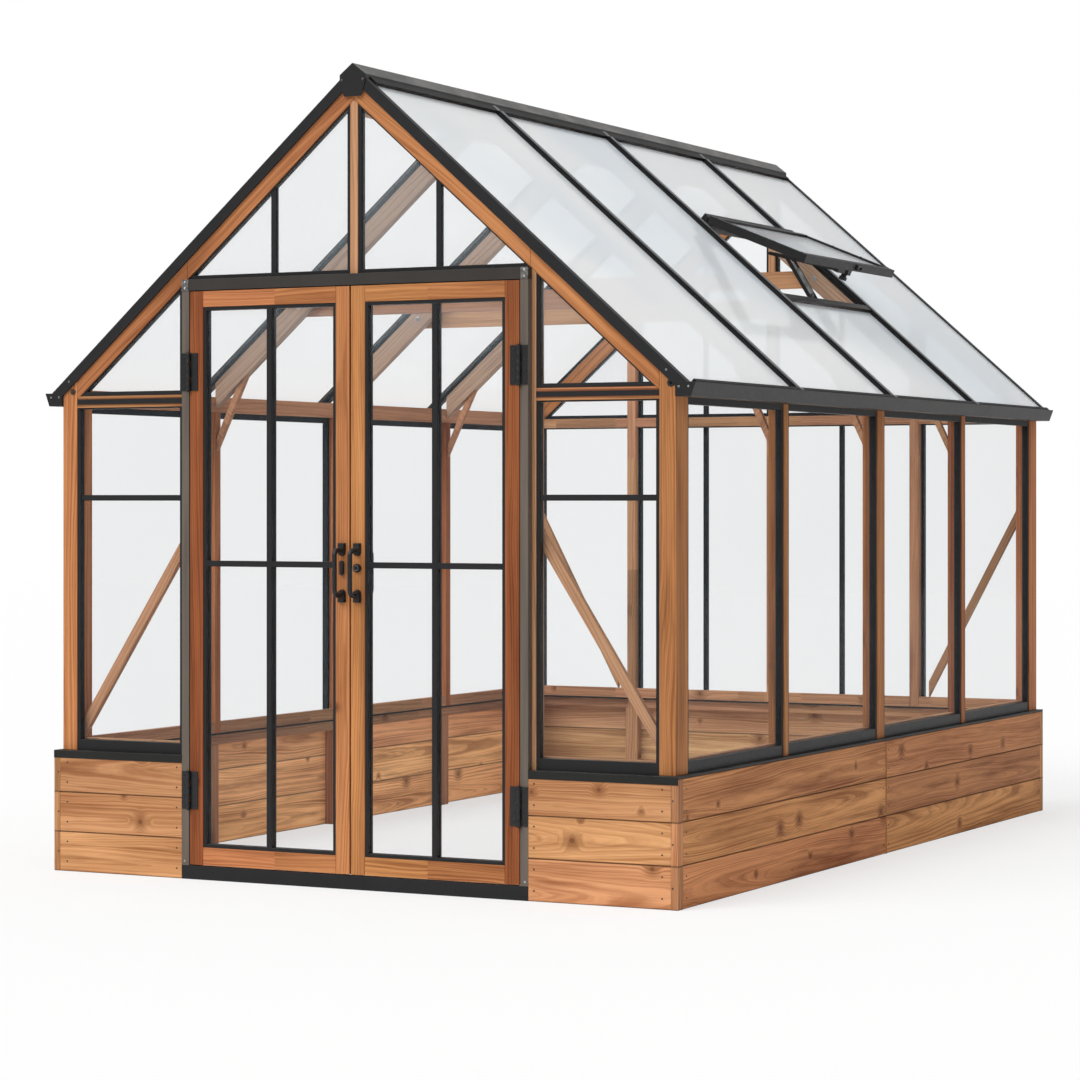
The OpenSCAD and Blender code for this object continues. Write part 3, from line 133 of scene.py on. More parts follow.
def makeCedarGrain():
    # sawn cedar: uneven rings about a pith that runs nearly along the grain, fibres, pale bands and knots
    tree, given, made = makeGroup(
        "cedarGrain",
        [("Position", "Vector", (0, 0, 0)), ("Direction", "Vector", (1, 0, 0)), ("Across", "Float", 0.0),
         ("Board", "Float", 0.0), ("Pith", "Float", 0.0), ("Knots", "Float", 0.5),
         ("Light", "Color", (1, 1, 1, 1)), ("Dark", "Color", (0, 0, 0, 1)), ("Spread", "Float", 0.2)],
        [("Color", "Color"), ("Roughness", "Float"), ("Height", "Float")])
    ringsPerMetre, knotCell, smallKnot, largeKnot = 130.0, 0.155, 0.0026, 0.0070
    darkHeart, knotBrown = (0.09, 0.03, 0.01, 1), (0.12, 0.043, 0.018, 1)

    dice = put(tree, "ShaderNodeTexWhiteNoise", {"W": given["Board"]}, noise_dimensions="1D").outputs["Color"]
    chance = put(tree, "ShaderNodeSeparateColor", {"Color": dice}).outputs
    run = vectorCalc(tree, "DOT_PRODUCT", given["Position"], given["Direction"])
    point = vectorCalc(tree, "ADD", given["Position"], scaled(tree, dice, 9.0))

    def drawnNoise(keep, *settings):
        # noise drawn out along the grain: only the given share of the run is kept
        lost = scaled(tree, given["Direction"], calc(tree, "MULTIPLY", run, 1 - keep))
        return noise(tree, vectorCalc(tree, "SUBTRACT", point, lost), *settings)

    slow = drawnNoise(0.12, 6.0, 2.0)
    wavy = drawnNoise(0.2, 34.0, 2.0)
    fibre = drawnNoise(0.015, 420.0, 3.0, 0.6)
    broad = drawnNoise(0.1, 14.0, 2.0)
    streak = ramped(tree, drawnNoise(0.06, 30.0, 3.0, 0.6), 0.5, 0.74)

    # knots sit in cells of the board's face; each has a core, a dark halo and rings that swerve round it
    knotX = calc(tree, "MULTIPLY_ADD", chance["Red"], 7.0, calc(tree, "MULTIPLY", run, 0.66))
    knotY = calc(tree, "MULTIPLY_ADD", given["Across"], 0.75, calc(tree, "MULTIPLY", chance["Green"], 5.0))
    knotPlace = put(tree, "ShaderNodeCombineXYZ", {"X": knotX, "Y": knotY}).outputs[0]
    cells = put(tree, "ShaderNodeTexVoronoi", {"Vector": knotPlace, "Scale": 1 / knotCell, "Randomness": 0.8},
                voronoi_dimensions="2D").outputs
    knotChance = put(tree, "ShaderNodeSeparateColor", {"Color": cells["Color"]}).outputs
    present = calc(tree, "LESS_THAN", knotChance["Red"], given["Knots"])
    knotSize = ramped(tree, knotChance["Green"], 0.0, 1.0, smallKnot, largeKnot)
    knotNear = calc(tree, "DIVIDE", calc(tree, "MULTIPLY", cells["Distance"], knotCell), knotSize)
    jagged = calc(tree, "ADD", knotNear, calc(tree, "MULTIPLY_ADD", wavy, 1.2, -0.6))
    knotCore = calc(tree, "MULTIPLY", present, ramped(tree, jagged, 0.65, 1.15, 1.0, 0.0))
    knotHalo = calc(tree, "MULTIPLY", present, ramped(tree, jagged, 0.8, 5.2, 1.0, 0.0))
    swirl = calc(tree, "MULTIPLY", present, ramped(tree, knotNear, 0.0, 6.0, 0.016, 0.0))

    # a ring's radius is the distance from the pith, which lies at its own place and tilt in each board
    pithAcross = calc(tree, "MULTIPLY_ADD", chance["Red"], 0.1, -0.05)
    side = calc(tree, "SUBTRACT", calc(tree, "ADD", given["Across"], given["Pith"]), pithAcross)
    side = calc(tree, "ADD", side, calc(tree, "MULTIPLY_ADD", slow, 0.12, -0.06))
    tilt = calc(tree, "MULTIPLY_ADD", chance["Green"], 0.08, -0.04)
    depth = calc(tree, "MULTIPLY_ADD", chance["Blue"], 0.03, 0.016)
    depth = calc(tree, "ADD", depth, calc(tree, "MULTIPLY", run, tilt))
    radius = calc(tree, "ADD", calc(tree, "MULTIPLY", side, side), calc(tree, "MULTIPLY", depth, depth))
    radius = calc(tree, "ADD", calc(tree, "SQRT", radius), calc(tree, "MULTIPLY_ADD", wavy, 0.006, swirl))
    outward = calc(tree, "MULTIPLY", radius, ringsPerMetre)
    rings = put(tree, "ShaderNodeTexNoise", {"W": outward, "Scale": 1.0, "Detail": 3.0, "Roughness": 0.65},
                noise_dimensions="1D").outputs["Fac"]
    ring = ramped(tree, rings, 0.36, 0.66)

    # colour: rings, fibres and broad bands, then streaks, the board's own tone and the knots
    shade = calc(tree, "MULTIPLY_ADD", ring, 0.55, calc(tree, "MULTIPLY_ADD", fibre, 0.6, -0.3))
    shade = calc(tree, "ADD", shade, calc(tree, "MULTIPLY_ADD", broad, 1.5, -0.62), clamp=True)
    wood = mixed(tree, shade, given["Light"], given["Dark"])
    wood = mixed(tree, calc(tree, "MULTIPLY", streak, 0.6), wood, mixed(tree, 0.3, given["Dark"], darkHeart))
    tone = calc(tree, "MULTIPLY_ADD", calc(tree, "SUBTRACT", chance["Green"], 0.5), given["Spread"], 1.0)
    hue = calc(tree, "MULTIPLY_ADD", chance["Blue"], 0.012, 0.494)
    wood = put(tree, "ShaderNodeHueSaturation", {"Hue": hue, "Value": tone, "Color": wood}).outputs[0]
    haloBrown = mixed(tree, 0.35, given["Dark"], darkHeart)
    wood = mixed(tree, calc(tree, "MULTIPLY", knotHalo, 0.72), wood, haloBrown)
    wood = mixed(tree, calc(tree, "MULTIPLY", knotCore, 0.65), wood, knotBrown)
    tree.links.new(wood, made["Color"])
    tree.links.new(calc(tree, "MULTIPLY_ADD", fibre, 0.2, 0.5), made["Roughness"])
    low = calc(tree, "MULTIPLY_ADD", ring, 0.3, calc(tree, "MULTIPLY", knotCore, 0.8))
    tree.links.new(calc(tree, "SUBTRACT", calc(tree, "MULTIPLY", fibre, 0.8), low), made["Height"])
    return tree


def makeBlackCoat():
    # powder coat and black paint: a fine orange peel, mottled gloss and a little dust on what faces up
    tree, given, made = makeGroup(
        "blackCoat",
        [("Position", "Vector", (0, 0, 0)), ("Base", "Color", (0, 0, 0, 1)), ("Dust", "Float", 0.1),
         ("Gloss", "Float", 0.4)],
        [("Color", "Color"), ("Roughness", "Float"), ("Height", "Float")])
    dustColor = (0.36, 0.34, 0.31, 1)
    peel = noise(tree, given["Position"], 900.0, 1.0)
    mottle = noise(tree, given["Position"], 7.0, 4.0, 0.6)
    smear = noise(tree, given["Position"], 55.0, 3.0, 0.6)
    settled = ramped(tree, calc(tree, "MULTIPLY", mottle, smear), 0.12, 0.4)
    dusty = calc(tree, "MULTIPLY", ramped(tree, facingUp(tree), 0.2, 0.9), settled)
    dusty = calc(tree, "MULTIPLY", dusty, given["Dust"])
    shade = calc(tree, "MULTIPLY_ADD", mottle, 0.5, 0.75)
    coat = put(tree, "ShaderNodeHueSaturation", {"Value": shade, "Color": given["Base"]}).outputs[0]
    tree.links.new(mixed(tree, dusty, coat, dustColor), made["Color"])
    gloss = calc(tree, "ADD", given["Gloss"], calc(tree, "MULTIPLY_ADD", smear, 0.16, -0.08))
    tree.links.new(calc(tree, "MULTIPLY_ADD", dusty, 0.4, gloss, clamp=True), made["Roughness"])
    tree.links.new(peel, made["Height"])
    return tree


boardId, cedarGrain, blackCoat = makeBoardId(), makeCedarGrain(), makeBlackCoat()


def startMaterial(name):
    material = bpy.data.materials.new(name)
    material.use_nodes = True
    tree = material.node_tree
    shader = tree.nodes["Principled BSDF"]
    where = tree.nodes.new("ShaderNodeTexCoord").outputs["Object"]
    return material, tree, shader, where


def addGroup(tree, group, values):
    return put(tree, "ShaderNodeGroup", values, node_tree=group).outputs


def addBump(tree, shader, height, strength, distance):
    bump = put(tree, "ShaderNodeBump", {"Strength": strength, "Distance": distance, "Height": height})
    tree.links.new(bump.outputs["Normal"], shader.inputs["Normal"])


def dress(name, material):
    target = nodes[name].data
    if len(target.materials) == 0:
        target.materials.append(material)
    for i in range(len(target.materials)):
        target.materials[i] = material


def soften(name, width, segments=2):
    # joins the loose triangles, clears the flat edges and rounds the sharp ones
    target = nodes[name]
    weld = target.modifiers.new("join", "WELD")
    weld.merge_threshold = 0.00002
    flat = target.modifiers.new("clear", "DECIMATE")
    flat.decimate_type = "DISSOLVE"
    flat.angle_limit = math.radians(1)
    bevel = target.modifiers.new("round", "BEVEL")
    bevel.width = width
    bevel.segments = segments
    bevel.limit_method = "ANGLE"
    bevel.angle_limit = math.radians(32)
    bevel.harden_normals = True


# the timber's looks: pairs of a light and a dark tone, and the ways that grain runs and lies across a face
boards = ((0.55, 0.278, 0.126, 1), (0.255, 0.094, 0.031, 1))
sideTones = ((0.60, 0.275, 0.108, 1), (0.21, 0.064, 0.018, 1))
posts = ((0.455, 0.188, 0.070, 1), (0.19, 0.058, 0.017, 1))
inner = ((0.50, 0.27, 0.145, 1), (0.26, 0.120, 0.058, 1))
innerRafters = ((0.44, 0.30, 0.215, 1), (0.23, 0.145, 0.098, 1))
rails = ((0.40, 0.175, 0.075, 1), (0.19, 0.067, 0.024, 1))
frontInsideLight = (1.15, 1.4, 1.6, 1)  # painted light: the boards' inner faces are made paler and less red than their outer faces
# painted light: the side boards' inner faces are made much paler than their outer faces
sideInsideLight = (2.0, 2.5, 3.0, 1)
# painted shade: the door's outer stiles, which stand in the frame's shade, are made darker and redder
stileShade = (0.62, 0.46, 0.40, 1)
darkRails = (0.2, 0.18, 0.18, 1)
# painted shade for the joints between rows of boards
seamShade = (0.055, 0.025, 0.012, 1)
alongX, alongY, alongZ = (1, 0, 0), (0, 1, 0), (0, 0, 1)
acrossForX, acrossForY, acrossForZ = (0, 0.8, 1), (0.8, 0, 1), (1, 0.8, 0)
acrossSlope = (0.5, 0.6, 0.6)

# where one timber of a node gives way to another, from the house's middle or up from the ground
turns = {"insideX": 1.2, "insideY": 1.81, "stileIn": 0.0571, "stileOut": 0.5909, "railMiddle": 1.6585,
         "rearPostIn": 0.6519, "rearPostOut": 0.6931, "rearMullion": 0.0221, "sideFrame": 1.1389,
         "battenTop": 0.3819, "cornerBraces": 1.5}


def cedar(name, look, cell, shift, ways, knots=0.3, pith=0.3, spread=0.3,
          mirrored=False, tint=None, seams=False):
    # cell and shift lay out the boards of a node. ways lists (direction, across vector, mask function), and
    # the first one holds where no mask does. tint is (mask function, colour)
    material, tree, shader, where = startMaterial(name)
    parts = split(tree, where)
    width = calc(tree, "ABSOLUTE", parts["X"])
    place = where
    if mirrored:
        place = put(tree, "ShaderNodeCombineXYZ", {"X": width, "Y": parts["Y"], "Z": parts["Z"]}).outputs[0]
    direction, across = ways[0]
    for wayDirection, wayAcross, wayMask in ways[1:]:
        mask = wayMask(tree, width, parts["Y"], parts["Z"])
        direction = mixedVector(tree, mask, direction, wayDirection)
        across = mixedVector(tree, mask, across, wayAcross)
    board = addGroup(tree, boardId, {"Position": where, "Cell": cell, "Shift": shift})
    local = board["Local"] if pith == 0 else place
    grain = addGroup(tree, cedarGrain, {
        "Position": place, "Direction": direction, "Across": vectorCalc(tree, "DOT_PRODUCT", local, across),
        "Board": board["Board"], "Pith": pith, "Knots": knots, "Light": look[0], "Dark": look[1],
        "Spread": spread})
    color = grain["Color"]
    # the tint multiplies the colour where its mask holds: painted light on the boards' inner faces, painted
    # shade on the door's outer stiles, a dark band between the rails
    if tint:
        color = mixed(tree, tint[0](tree, width, parts["Y"], parts["Z"]), color, tint[1], "MULTIPLY")
    if seams:
        # painted shade in the joint between two rows: the board's top and bottom edges are darkened
        height = calc(tree, "ABSOLUTE", split(tree, board["Local"])["Z"])
        joint = rowHeight / 2
        jointShade = calc(tree, "MULTIPLY", ramped(tree, height, joint - 0.0045, joint - 0.0005), 0.75)
        color = mixed(tree, jointShade, color, seamShade)
    tree.links.new(color, shader.inputs["Base Color"])
    tree.links.new(grain["Roughness"], shader.inputs["Roughness"])
    shader.inputs["Specular IOR Level"].default_value = 0.15
    addBump(tree, shader, grain["Height"], 0.3, 0.0012)
    return material


# masks: each is 1 where a node's timber runs another way or has another tone. x is the distance from the
# house's middle plane

def endBoardsInside(tree, x, y, z):
    return between(tree, y, houseY - turns["insideY"], houseY + turns["insideY"])


def sideBoardsInside(tree, x, y, z):
    return calc(tree, "LESS_THAN", x, turns["insideX"])


def doorRails(tree, x, y, z):
    return between(tree, x, turns["stileIn"], turns["stileOut"])


# painted shade: where the door's outer stiles are darkened
def outerStiles(tree, x, y, z):
    return calc(tree, "GREATER_THAN", x, turns["stileOut"])


def betweenRails(tree, x, y, z):
    # the dark band that runs between the two front rails
    offMiddle = calc(tree, "ABSOLUTE", calc(tree, "SUBTRACT", z, turns["railMiddle"]))
    return ramped(tree, offMiddle, 0.008, 0.017, 1.0, 0.0)


def rearPosts(tree, x, y, z):
    return between(tree, x, turns["rearPostIn"], turns["rearPostOut"])


def rearMullion(tree, x, y, z):
    return calc(tree, "LESS_THAN", x, turns["rearMullion"])


def sideFrames(tree, x, y, z):
    return calc(tree, "GREATER_THAN", x, turns["sideFrame"])


def battens(tree, x, y, z):
    return calc(tree, "LESS_THAN", z, turns["battenTop"])


def frontBraces(tree, x, y, z):
    return calc(tree, "LESS_THAN", y, -turns["cornerBraces"])


def rearBraces(tree, x, y, z):
    return calc(tree, "GREATER_THAN", y, turns["cornerBraces"])


rowCell = (10, 10, rowHeight)
frontBoards = cedar(
    "frontBoardCedar", boards, rowCell, (0, 0, 0), [(alongX, alongZ)], 0.6, 0,
    tint=(endBoardsInside, frontInsideLight), seams=True)
sideBoards = cedar(
    "sideBoardCedar", sideTones, rowCell, (0, -houseY, 0), [(alongY, alongZ)], 0.5, 0,
    tint=(sideBoardsInside, sideInsideLight), seams=True)
trimCedar = cedar(
    "trimCedar", boards, (1, 1, rowHeight), (0.5, 0.5, 0), [(alongZ, acrossForZ)], 0.06, spread=0.6,
    seams=True)
postCedar = cedar("postCedar", posts, (0.5, 0.45, 10), (0.25, 0.2, 1), [(alongZ, acrossForZ)], 0.2)
innerPostCedar = cedar("innerPostCedar", inner, (0.5, 0.45, 10), (0.25, 0.2, 1), [(alongZ, acrossForZ)], 0.2)
rafterCedar = cedar(
    "rafterCedar", posts, (3, 0.4, 10), (0, 0.2, 1), [(slopeRun, acrossSlope)], 0.2,
    mirrored=True)
innerRafterCedar = cedar(
    "innerRafterCedar", innerRafters, (3, 0.4, 10), (0, 0.2, 1), [(slopeRun, acrossSlope)], 0.2,
    mirrored=True)
beamCedar = cedar("beamCedar", inner, (0.5, 8, 10), (0.25, 4, 1), [(alongY, acrossForY)], 0.2)
tieCedar = cedar("tieCedar", inner, (8, 0.4, 10), (4, 0.2, 1), [(alongX, acrossForX)], 0.25)
doorCedar = cedar(
    "doorCedar", posts, (0.3, 8, 10), (0, 4, 1),
    [(alongZ, acrossForZ), (alongX, acrossForX, doorRails)], 0.12, tint=(outerStiles, stileShade))
railCedar = cedar(
    "railCedar", rails, (0.6, 4, 0.035), (0, 0, 0), [(alongX, acrossForX)], 0.16,
    tint=(betweenRails, darkRails))
rearCedar = cedar(
    "rearWallCedar", inner, (0.3, 4, 0.5), (0.15, 0, 0),
    [(alongX, acrossForX), (alongZ, acrossForZ, rearPosts), (alongZ, acrossForZ, rearMullion)], 0.2)
baseCedar = cedar(
    "baseFrameCedar", inner, (0.7, 0.45, 0.382), (0, 0.2, 0),
    [(alongX, acrossForX), (alongY, acrossForY, sideFrames), (alongZ, acrossForZ, battens)], 0.3)
braceCedar = cedar(
    "braceCedar", inner, (0.7, 0.45, 3), (0, 0.2, 1),
    [((0.643, 0, 0.766), (0.7, 0.5, -0.6)),
     ((0.532, 0, -0.847), (0.8, 0.5, 0.5), frontBraces),
     ((0.470, 0, 0.883), (0.8, 0.5, -0.4), rearBraces)], 0.12, mirrored=True)

timber = {
    "front_base_boards": frontBoards, "rear_base_boards": frontBoards, "left_base_boards": sideBoards,
    "right_base_boards": sideBoards, "base_corner_trims": trimCedar, "base_inner_frame": baseCedar,
    "corner_posts": postCedar, "door_posts": innerPostCedar, "left_wall_mullions": postCedar,
    "right_wall_mullions": postCedar, "eave_beams": beamCedar, "ridge_beam": beamCedar,
    "front_wall_rails": railCedar, "rear_wall_timbers": rearCedar, "front_gable_rafters": rafterCedar,
    "rear_gable_rafters": rafterCedar, "inner_rafters": innerRafterCedar, "gable_king_posts": innerPostCedar,
    "collar_ties": tieCedar, "braces": braceCedar, "left_door_timber": doorCedar,
    "right_door_timber": doorCedar}
for name, material in timber.items():
    dress(name, material)
    soften(name, 0.0012 if name.endswith("base_boards") else 0.0018)
print("timber dressed")


def coated(name, base, gloss, dust, shine=0.35):
    material, tree, shader, where = startMaterial(name)
    coat = addGroup(tree, blackCoat, {"Position": where, "Base": base, "Gloss": gloss, "Dust": dust})
    tree.links.new(coat["Color"], shader.inputs["Base Color"])
    tree.links.new(coat["Roughness"], shader.inputs["Roughness"])
    shader.inputs["Specular IOR Level"].default_value = shine
    addBump(tree, shader, coat["Height"], 0.05, 0.0004)
    return material


profile = coated("profileCoat", (0.012, 0.012, 0.013, 1), 0.45, 0.12, shine=0.22)
barCoat = coated("barCoat", (0.008, 0.008, 0.009, 1), 0.5, 0.06, shine=0.15)
frameCoat = coated("doorFrameCoat", (0.030, 0.026, 0.023, 1), 0.45, 0.1, shine=0.25)
gutterCoat = coated("gutterCoat", (0.030, 0.029, 0.029, 1), 0.5, 0.15, shine=0.2)
ridgeCoat = coated("ridgeCoat", (0.050, 0.050, 0.052, 1), 0.4, 0.45)
hardware = coated("hardwarePaint", (0.010, 0.010, 0.011, 1), 0.36, 0.05)
flashingCoat = coated("flashingCoat", (0.012, 0.012, 0.011, 1), 0.45, 0.15, shine=0.2)


def repaint(material, mask, color):
    # paints a part of a coat: mask and color are functions of the tree and the Object coordinates
    tree = material.node_tree
    shader = tree.nodes["Principled BSDF"]
    where = tree.nodes.new("ShaderNodeTexCoord").outputs["Object"]
    coat = shader.inputs["Base Color"].links[0].from_socket
    tree.links.new(mixed(tree, mask(tree, where), coat, color(tree, where)), shader.inputs["Base Color"])


def channelMask(tree, where):
    # the floor and walls of the channel between a roof bar's two ribs; the bars stand over the mullions
    channelHalf = 0.0123
    along = calc(tree, "FLOORED_MODULO", calc(tree, "ADD", split(tree, where)["Y"], bay / 2 - houseY), bay)
    offMiddle = calc(tree, "ABSOLUTE", calc(tree, "SUBTRACT", along, bay / 2))
    return calc(tree, "LESS_THAN", offMiddle, channelHalf)


# painted highlight: the channel is lightened to grey along each roof bar, standing in for the light line the
# bars catch
def channelHighlight(tree, where):
    return mixed(tree, noise(tree, where, 30.0), (0.26, 0.27, 0.28, 1), (0.16, 0.165, 0.17, 1))


def jambMask(tree, where):
    # the jambs, between the threshold and the header
    return between(tree, split(tree, where)["Z"], 0.048, 2.0367)


def jambPaint(tree, where):
    drawn = noise(tree, vectorCalc(tree, "MULTIPLY", where, (40, 40, 2)), 1.0)
    return mixed(tree, drawn, (0.16, 0.128, 0.10, 1), (0.055, 0.046, 0.04, 1))


# the roof bars' channels get a painted highlight
repaint(barCoat, channelMask, channelHighlight)
repaint(frameCoat, jambMask, jambPaint)


def metal(name, bright, dull, rough):
    # bare metal with drawn lines and dull stains
    material, tree, shader, where = startMaterial(name)
    lines = noise(tree, vectorCalc(tree, "MULTIPLY", where, (60, 900, 60)), 1.0, 3.0)
    stain = noise(tree, where, 30.0, 3.0)
    tree.links.new(mixed(tree, ramped(tree, stain, 0.35, 0.7), bright, dull), shader.inputs["Base Color"])
    tree.links.new(calc(tree, "MULTIPLY_ADD", lines, 0.25, rough), shader.inputs["Roughness"])
    shader.inputs["Metallic"].default_value = 0.9
    addBump(tree, shader, lines, 0.1, 0.0003)
    return material


steel = metal("openerSteel", (0.30, 0.30, 0.31, 1), (0.16, 0.155, 0.15, 1), 0.25)
zinc = metal("zincScrews", (0.56, 0.56, 0.57, 1), (0.33, 0.33, 0.33, 1), 0.3)
nailMetal = metal("nailMetal", (0.11, 0.085, 0.07, 1), (0.05, 0.038, 0.03, 1), 0.45)

coats = {name: profile for name in (
    "front_glazing_frames", "left_window_frames", "right_window_frames", "rear_glazing_frames", "rake_trims",
    "roof_end_caps", "vent_curb", "vent_sash", "left_door_glazing_bars", "right_door_glazing_bars",
    "door_threshold")}
coats.update({"left_roof_bars": barCoat, "right_roof_bars": barCoat, "door_frame": frameCoat,
              "gutters": gutterCoat, "ridge_cap": ridgeCoat, "base_flashing": flashingCoat})
for name, material in coats.items():
    dress(name, material)
    soften(name, 0.0009)
for name in ("left_door_handles", "right_door_handles"):
    dress(name, hardware)
    soften(name, 0.0022, 3)
for name in ("jamb_hinge_leaves", "left_door_hinge_leaves", "right_door_hinge_leaves", "thumb_turn",
             "key_cylinder", "opener_bracket", "opener_lower_arms", "opener_upper_arms"):
    dress(name, hardware)
    soften(name, 0.0005)
dress("opener_cylinder", steel)
print("metal dressed")


def glass(name, above, below, hidden, edge, tint, cool, patches, faceOn=1.0, misty=None):
    # a thin pane with two faces: the eye sees its veil and its glare, the light goes nearly straight through.
    # The veil is partly the pane's haze and partly a painted reflection of the bright sky, thicker on faces
    # seen from above and, where faceOn is below 1, at a slant.
    # above and below are the veils of a face that looks up and one that looks down, hidden the cover that
    # light meets, edge the glare at its rim, cool the colour of its patches, and faceOn the share of the veil
    # that's left when it's looked at squarely. misty is the veil and the colour of panes above the rails
    material, tree, shader, where = startMaterial(name)
    rim = put(tree, "ShaderNodeLayerWeight", {"Blend": 0.3}).outputs["Facing"]
    slanted = put(tree, "ShaderNodeLayerWeight", {"Blend": 0.5}).outputs["Facing"]
    film = noise(tree, where, patches, 2.0, 0.45)
    # painted reflection in part: the veil is thicker on a face seen from above, and at a slant
    veil = ramped(tree, facingUp(tree), -0.1, 0.1, below, above)
    veil = calc(tree, "MULTIPLY", veil, ramped(tree, slanted, 0.3, 0.75, faceOn, 1.0))
    color = mixed(tree, ramped(tree, film, 0.38, 0.62), tint, cool)
    if misty:
        high = ramped(tree, split(tree, where)["Z"], 1.6, 2.0)
        veil = calc(tree, "MULTIPLY_ADD", high, misty[0], veil)
        color = mixed(tree, high, color, misty[1])
    hazeAndReflection = calc(tree, "MULTIPLY", veil, calc(tree, "MULTIPLY_ADD", film, 0.3, 0.85))
    seen = calc(tree, "MULTIPLY_ADD", calc(tree, "POWER", rim, 3.0), edge, hazeAndReflection, clamp=True)
    eye = put(tree, "ShaderNodeLightPath").outputs["Is Camera Ray"]
    cover = calc(tree, "MULTIPLY_ADD", calc(tree, "SUBTRACT", seen, hidden), eye, hidden, clamp=True)
    tree.links.new(cover, shader.inputs["Alpha"])
    tree.links.new(color, shader.inputs["Base Color"])
    tree.links.new(calc(tree, "MULTIPLY_ADD", film, 0.06, 0.04), shader.inputs["Roughness"])
    shader.inputs["IOR"].default_value = 1.45
    return material


wallGlass = glass(
    "wallGlass", above=0.045, below=0.045, hidden=0.015, edge=0.12, patches=1.4, tint=(0.07, 0.13, 0.17, 1),
    cool=(0.0665, 0.1235, 0.1615, 1), misty=(0.06, (0.36, 0.43, 0.47, 1)))
# the roof's thick white veil from above is partly a painted reflection of the sky
roofGlass = glass(
    "roofGlass", above=0.68, below=0.08, hidden=0.04, edge=0.12, patches=0.9, tint=(0.96, 0.985, 1.0, 1),
    cool=(0.80, 0.87, 0.92, 1), faceOn=0.4)
for name in ("front_glass", "rear_glass", "left_wall_glass", "right_wall_glass", "left_door_glass",
             "right_door_glass"):
    dress(name, wallGlass)
for name in ("left_roof_glass", "right_roof_glass", "vent_glass"):
    dress(name, roofGlass)
print("glass dressed")

# the mottled casting of the blocks at the header's ends
stone, tree, shader, where = startMaterial("marbledGrey")
veins = noise(tree, where, 120.0, 5.0, 0.7)
marbled = mixed(tree, ramped(tree, veins, 0.38, 0.62), (0.035, 0.034, 0.033, 1), (0.15, 0.145, 0.135, 1))
tree.links.new(marbled, shader.inputs["Base Color"])
tree.links.new(calc(tree, "MULTIPLY_ADD", veins, 0.2, 0.45), shader.inputs["Roughness"])
addBump(tree, shader, veins, 0.15, 0.0005)


# small parts: each is modelled once at the origin, facing up along Z, and copied to its places

front, rear, right, up = (0, -1, 0), (0, 1, 0), (1, 0, 0), (0, 0, 1)
sides = (-1, 1)
sideNames = ((-1, "left"), (1, "right"))


def at(x, y, z):
    return Vector((x, y + houseY, z))


def onSlope(run, out, y):
    # a point on the right slope: its distance down from the apex, its height over the surface, the house's Y
    return at(run * slopeRun[0] + out * slopeOut[0], y, apexZ + run * slopeRun[2] + out * slopeOut[2])


def choose(*pieces):
    bpy.ops.object.select_all(action="DESELECT")
    for piece in pieces:
        piece.select_set(True)
    bpy.context.view_layer.objects.active = pieces[0]


def settle():
    bpy.ops.object.transform_apply(location=True, rotation=True, scale=True)
    return bpy.context.object


def joined(*pieces):
    choose(*pieces)
    bpy.ops.object.join()
    return pieces[0]


def pickTop(piece):
    # selects, in edit mode, the faces that look up
    shape = bmesh.from_edit_mesh(piece.data)
    for face in shape.faces:
        face.select_set(face.normal.z > 0.9)
    shape.select_flush_mode()
    bmesh.update_edit_mesh(piece.data)


def editTop(piece):
    bpy.ops.object.mode_set(mode="EDIT")
    bpy.ops.mesh.select_mode(type="FACE")
    pickTop(piece)


def stepped(piece, steps):
    # insets the top, once for each pair of a width and a rise
    editTop(piece)
    for width, rise in steps:
        bpy.ops.mesh.inset(thickness=width, depth=rise)
    bpy.ops.object.mode_set(mode="OBJECT")
    return piece


def disc(sizes):
    bpy.ops.object.select_all(action="DESELECT")
    bpy.ops.mesh.primitive_cylinder_add(
        vertices=sizes["sides"], radius=sizes["radius"], depth=sizes["height"],
        location=(0, 0, sizes["height"] / 2))
    return settle()


def headPiece(sizes):
    # a round or six-sided head with a sloped rim and, if it has one, a recess
    radius = sizes["radius"]
    steps = [(radius * 0.35, sizes["height"] * 0.5)]
    if "recess" in sizes:
        steps += [(radius * 0.28, 0), (radius * 0.04, -sizes["recess"])]
    return stepped(disc(sizes), steps)


def wavyPiece(sizes):
    # a disc with scallops or flutes round its rim and steps in its top
    piece = disc(sizes)
    bpy.ops.object.mode_set(mode="EDIT")
    shape = bmesh.from_edit_mesh(piece.data)
    for corner in shape.verts:
        angle = math.atan2(corner.co.y, corner.co.x)
        grow = 1 + sizes["wave"] / sizes["radius"] * math.cos(sizes["waves"] * angle)
        corner.co.x *= grow
        corner.co.y *= grow
    bmesh.update_edit_mesh(piece.data)
    return stepped(piece, sizes["steps"])


def barPiece(sizes):
    # a bar along X with chamfered top edges
    length, width, height = sizes["length"], sizes["width"], sizes["height"]
    bpy.ops.object.select_all(action="DESELECT")
    bpy.ops.mesh.primitive_cube_add(size=1, location=(0, 0, height / 2), scale=(length, width, height))
    bar = settle()
    editTop(bar)
    bpy.ops.mesh.bevel(offset=sizes["edge"], segments=2)
    bpy.ops.object.mode_set(mode="OBJECT")
    return bar


def setOut(name, model, places, material, body="house"):
    # copies the model to each place, its Z axis along the given normal and its X axis along the given run
    copies = []
    for spot, facing, *run in places:
        normal = Vector(facing).normalized()
        along = Vector(run[0]) if run else normal.orthogonal()
        along = (along - normal * along.dot(normal)).normalized()
        turn = Matrix((along, normal.cross(along), normal)).transposed().to_4x4()
        copy = bpy.data.objects.new(name, model.data.copy())
        scene.collection.objects.link(copy)
        copy.matrix_world = Matrix.Translation(spot) @ turn
        copies.append(copy)
    piece = joined(*copies) if len(copies) > 1 else copies[0]
    choose(piece)
    settle()
    bpy.ops.object.shade_smooth_by_angle(angle=math.radians(35))
    piece.name = name
    piece.data.name = name
    piece.data.materials.clear()
    piece.data.materials.append(material)
    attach(piece, body)


def clear(model):
    bpy.data.objects.remove(model)


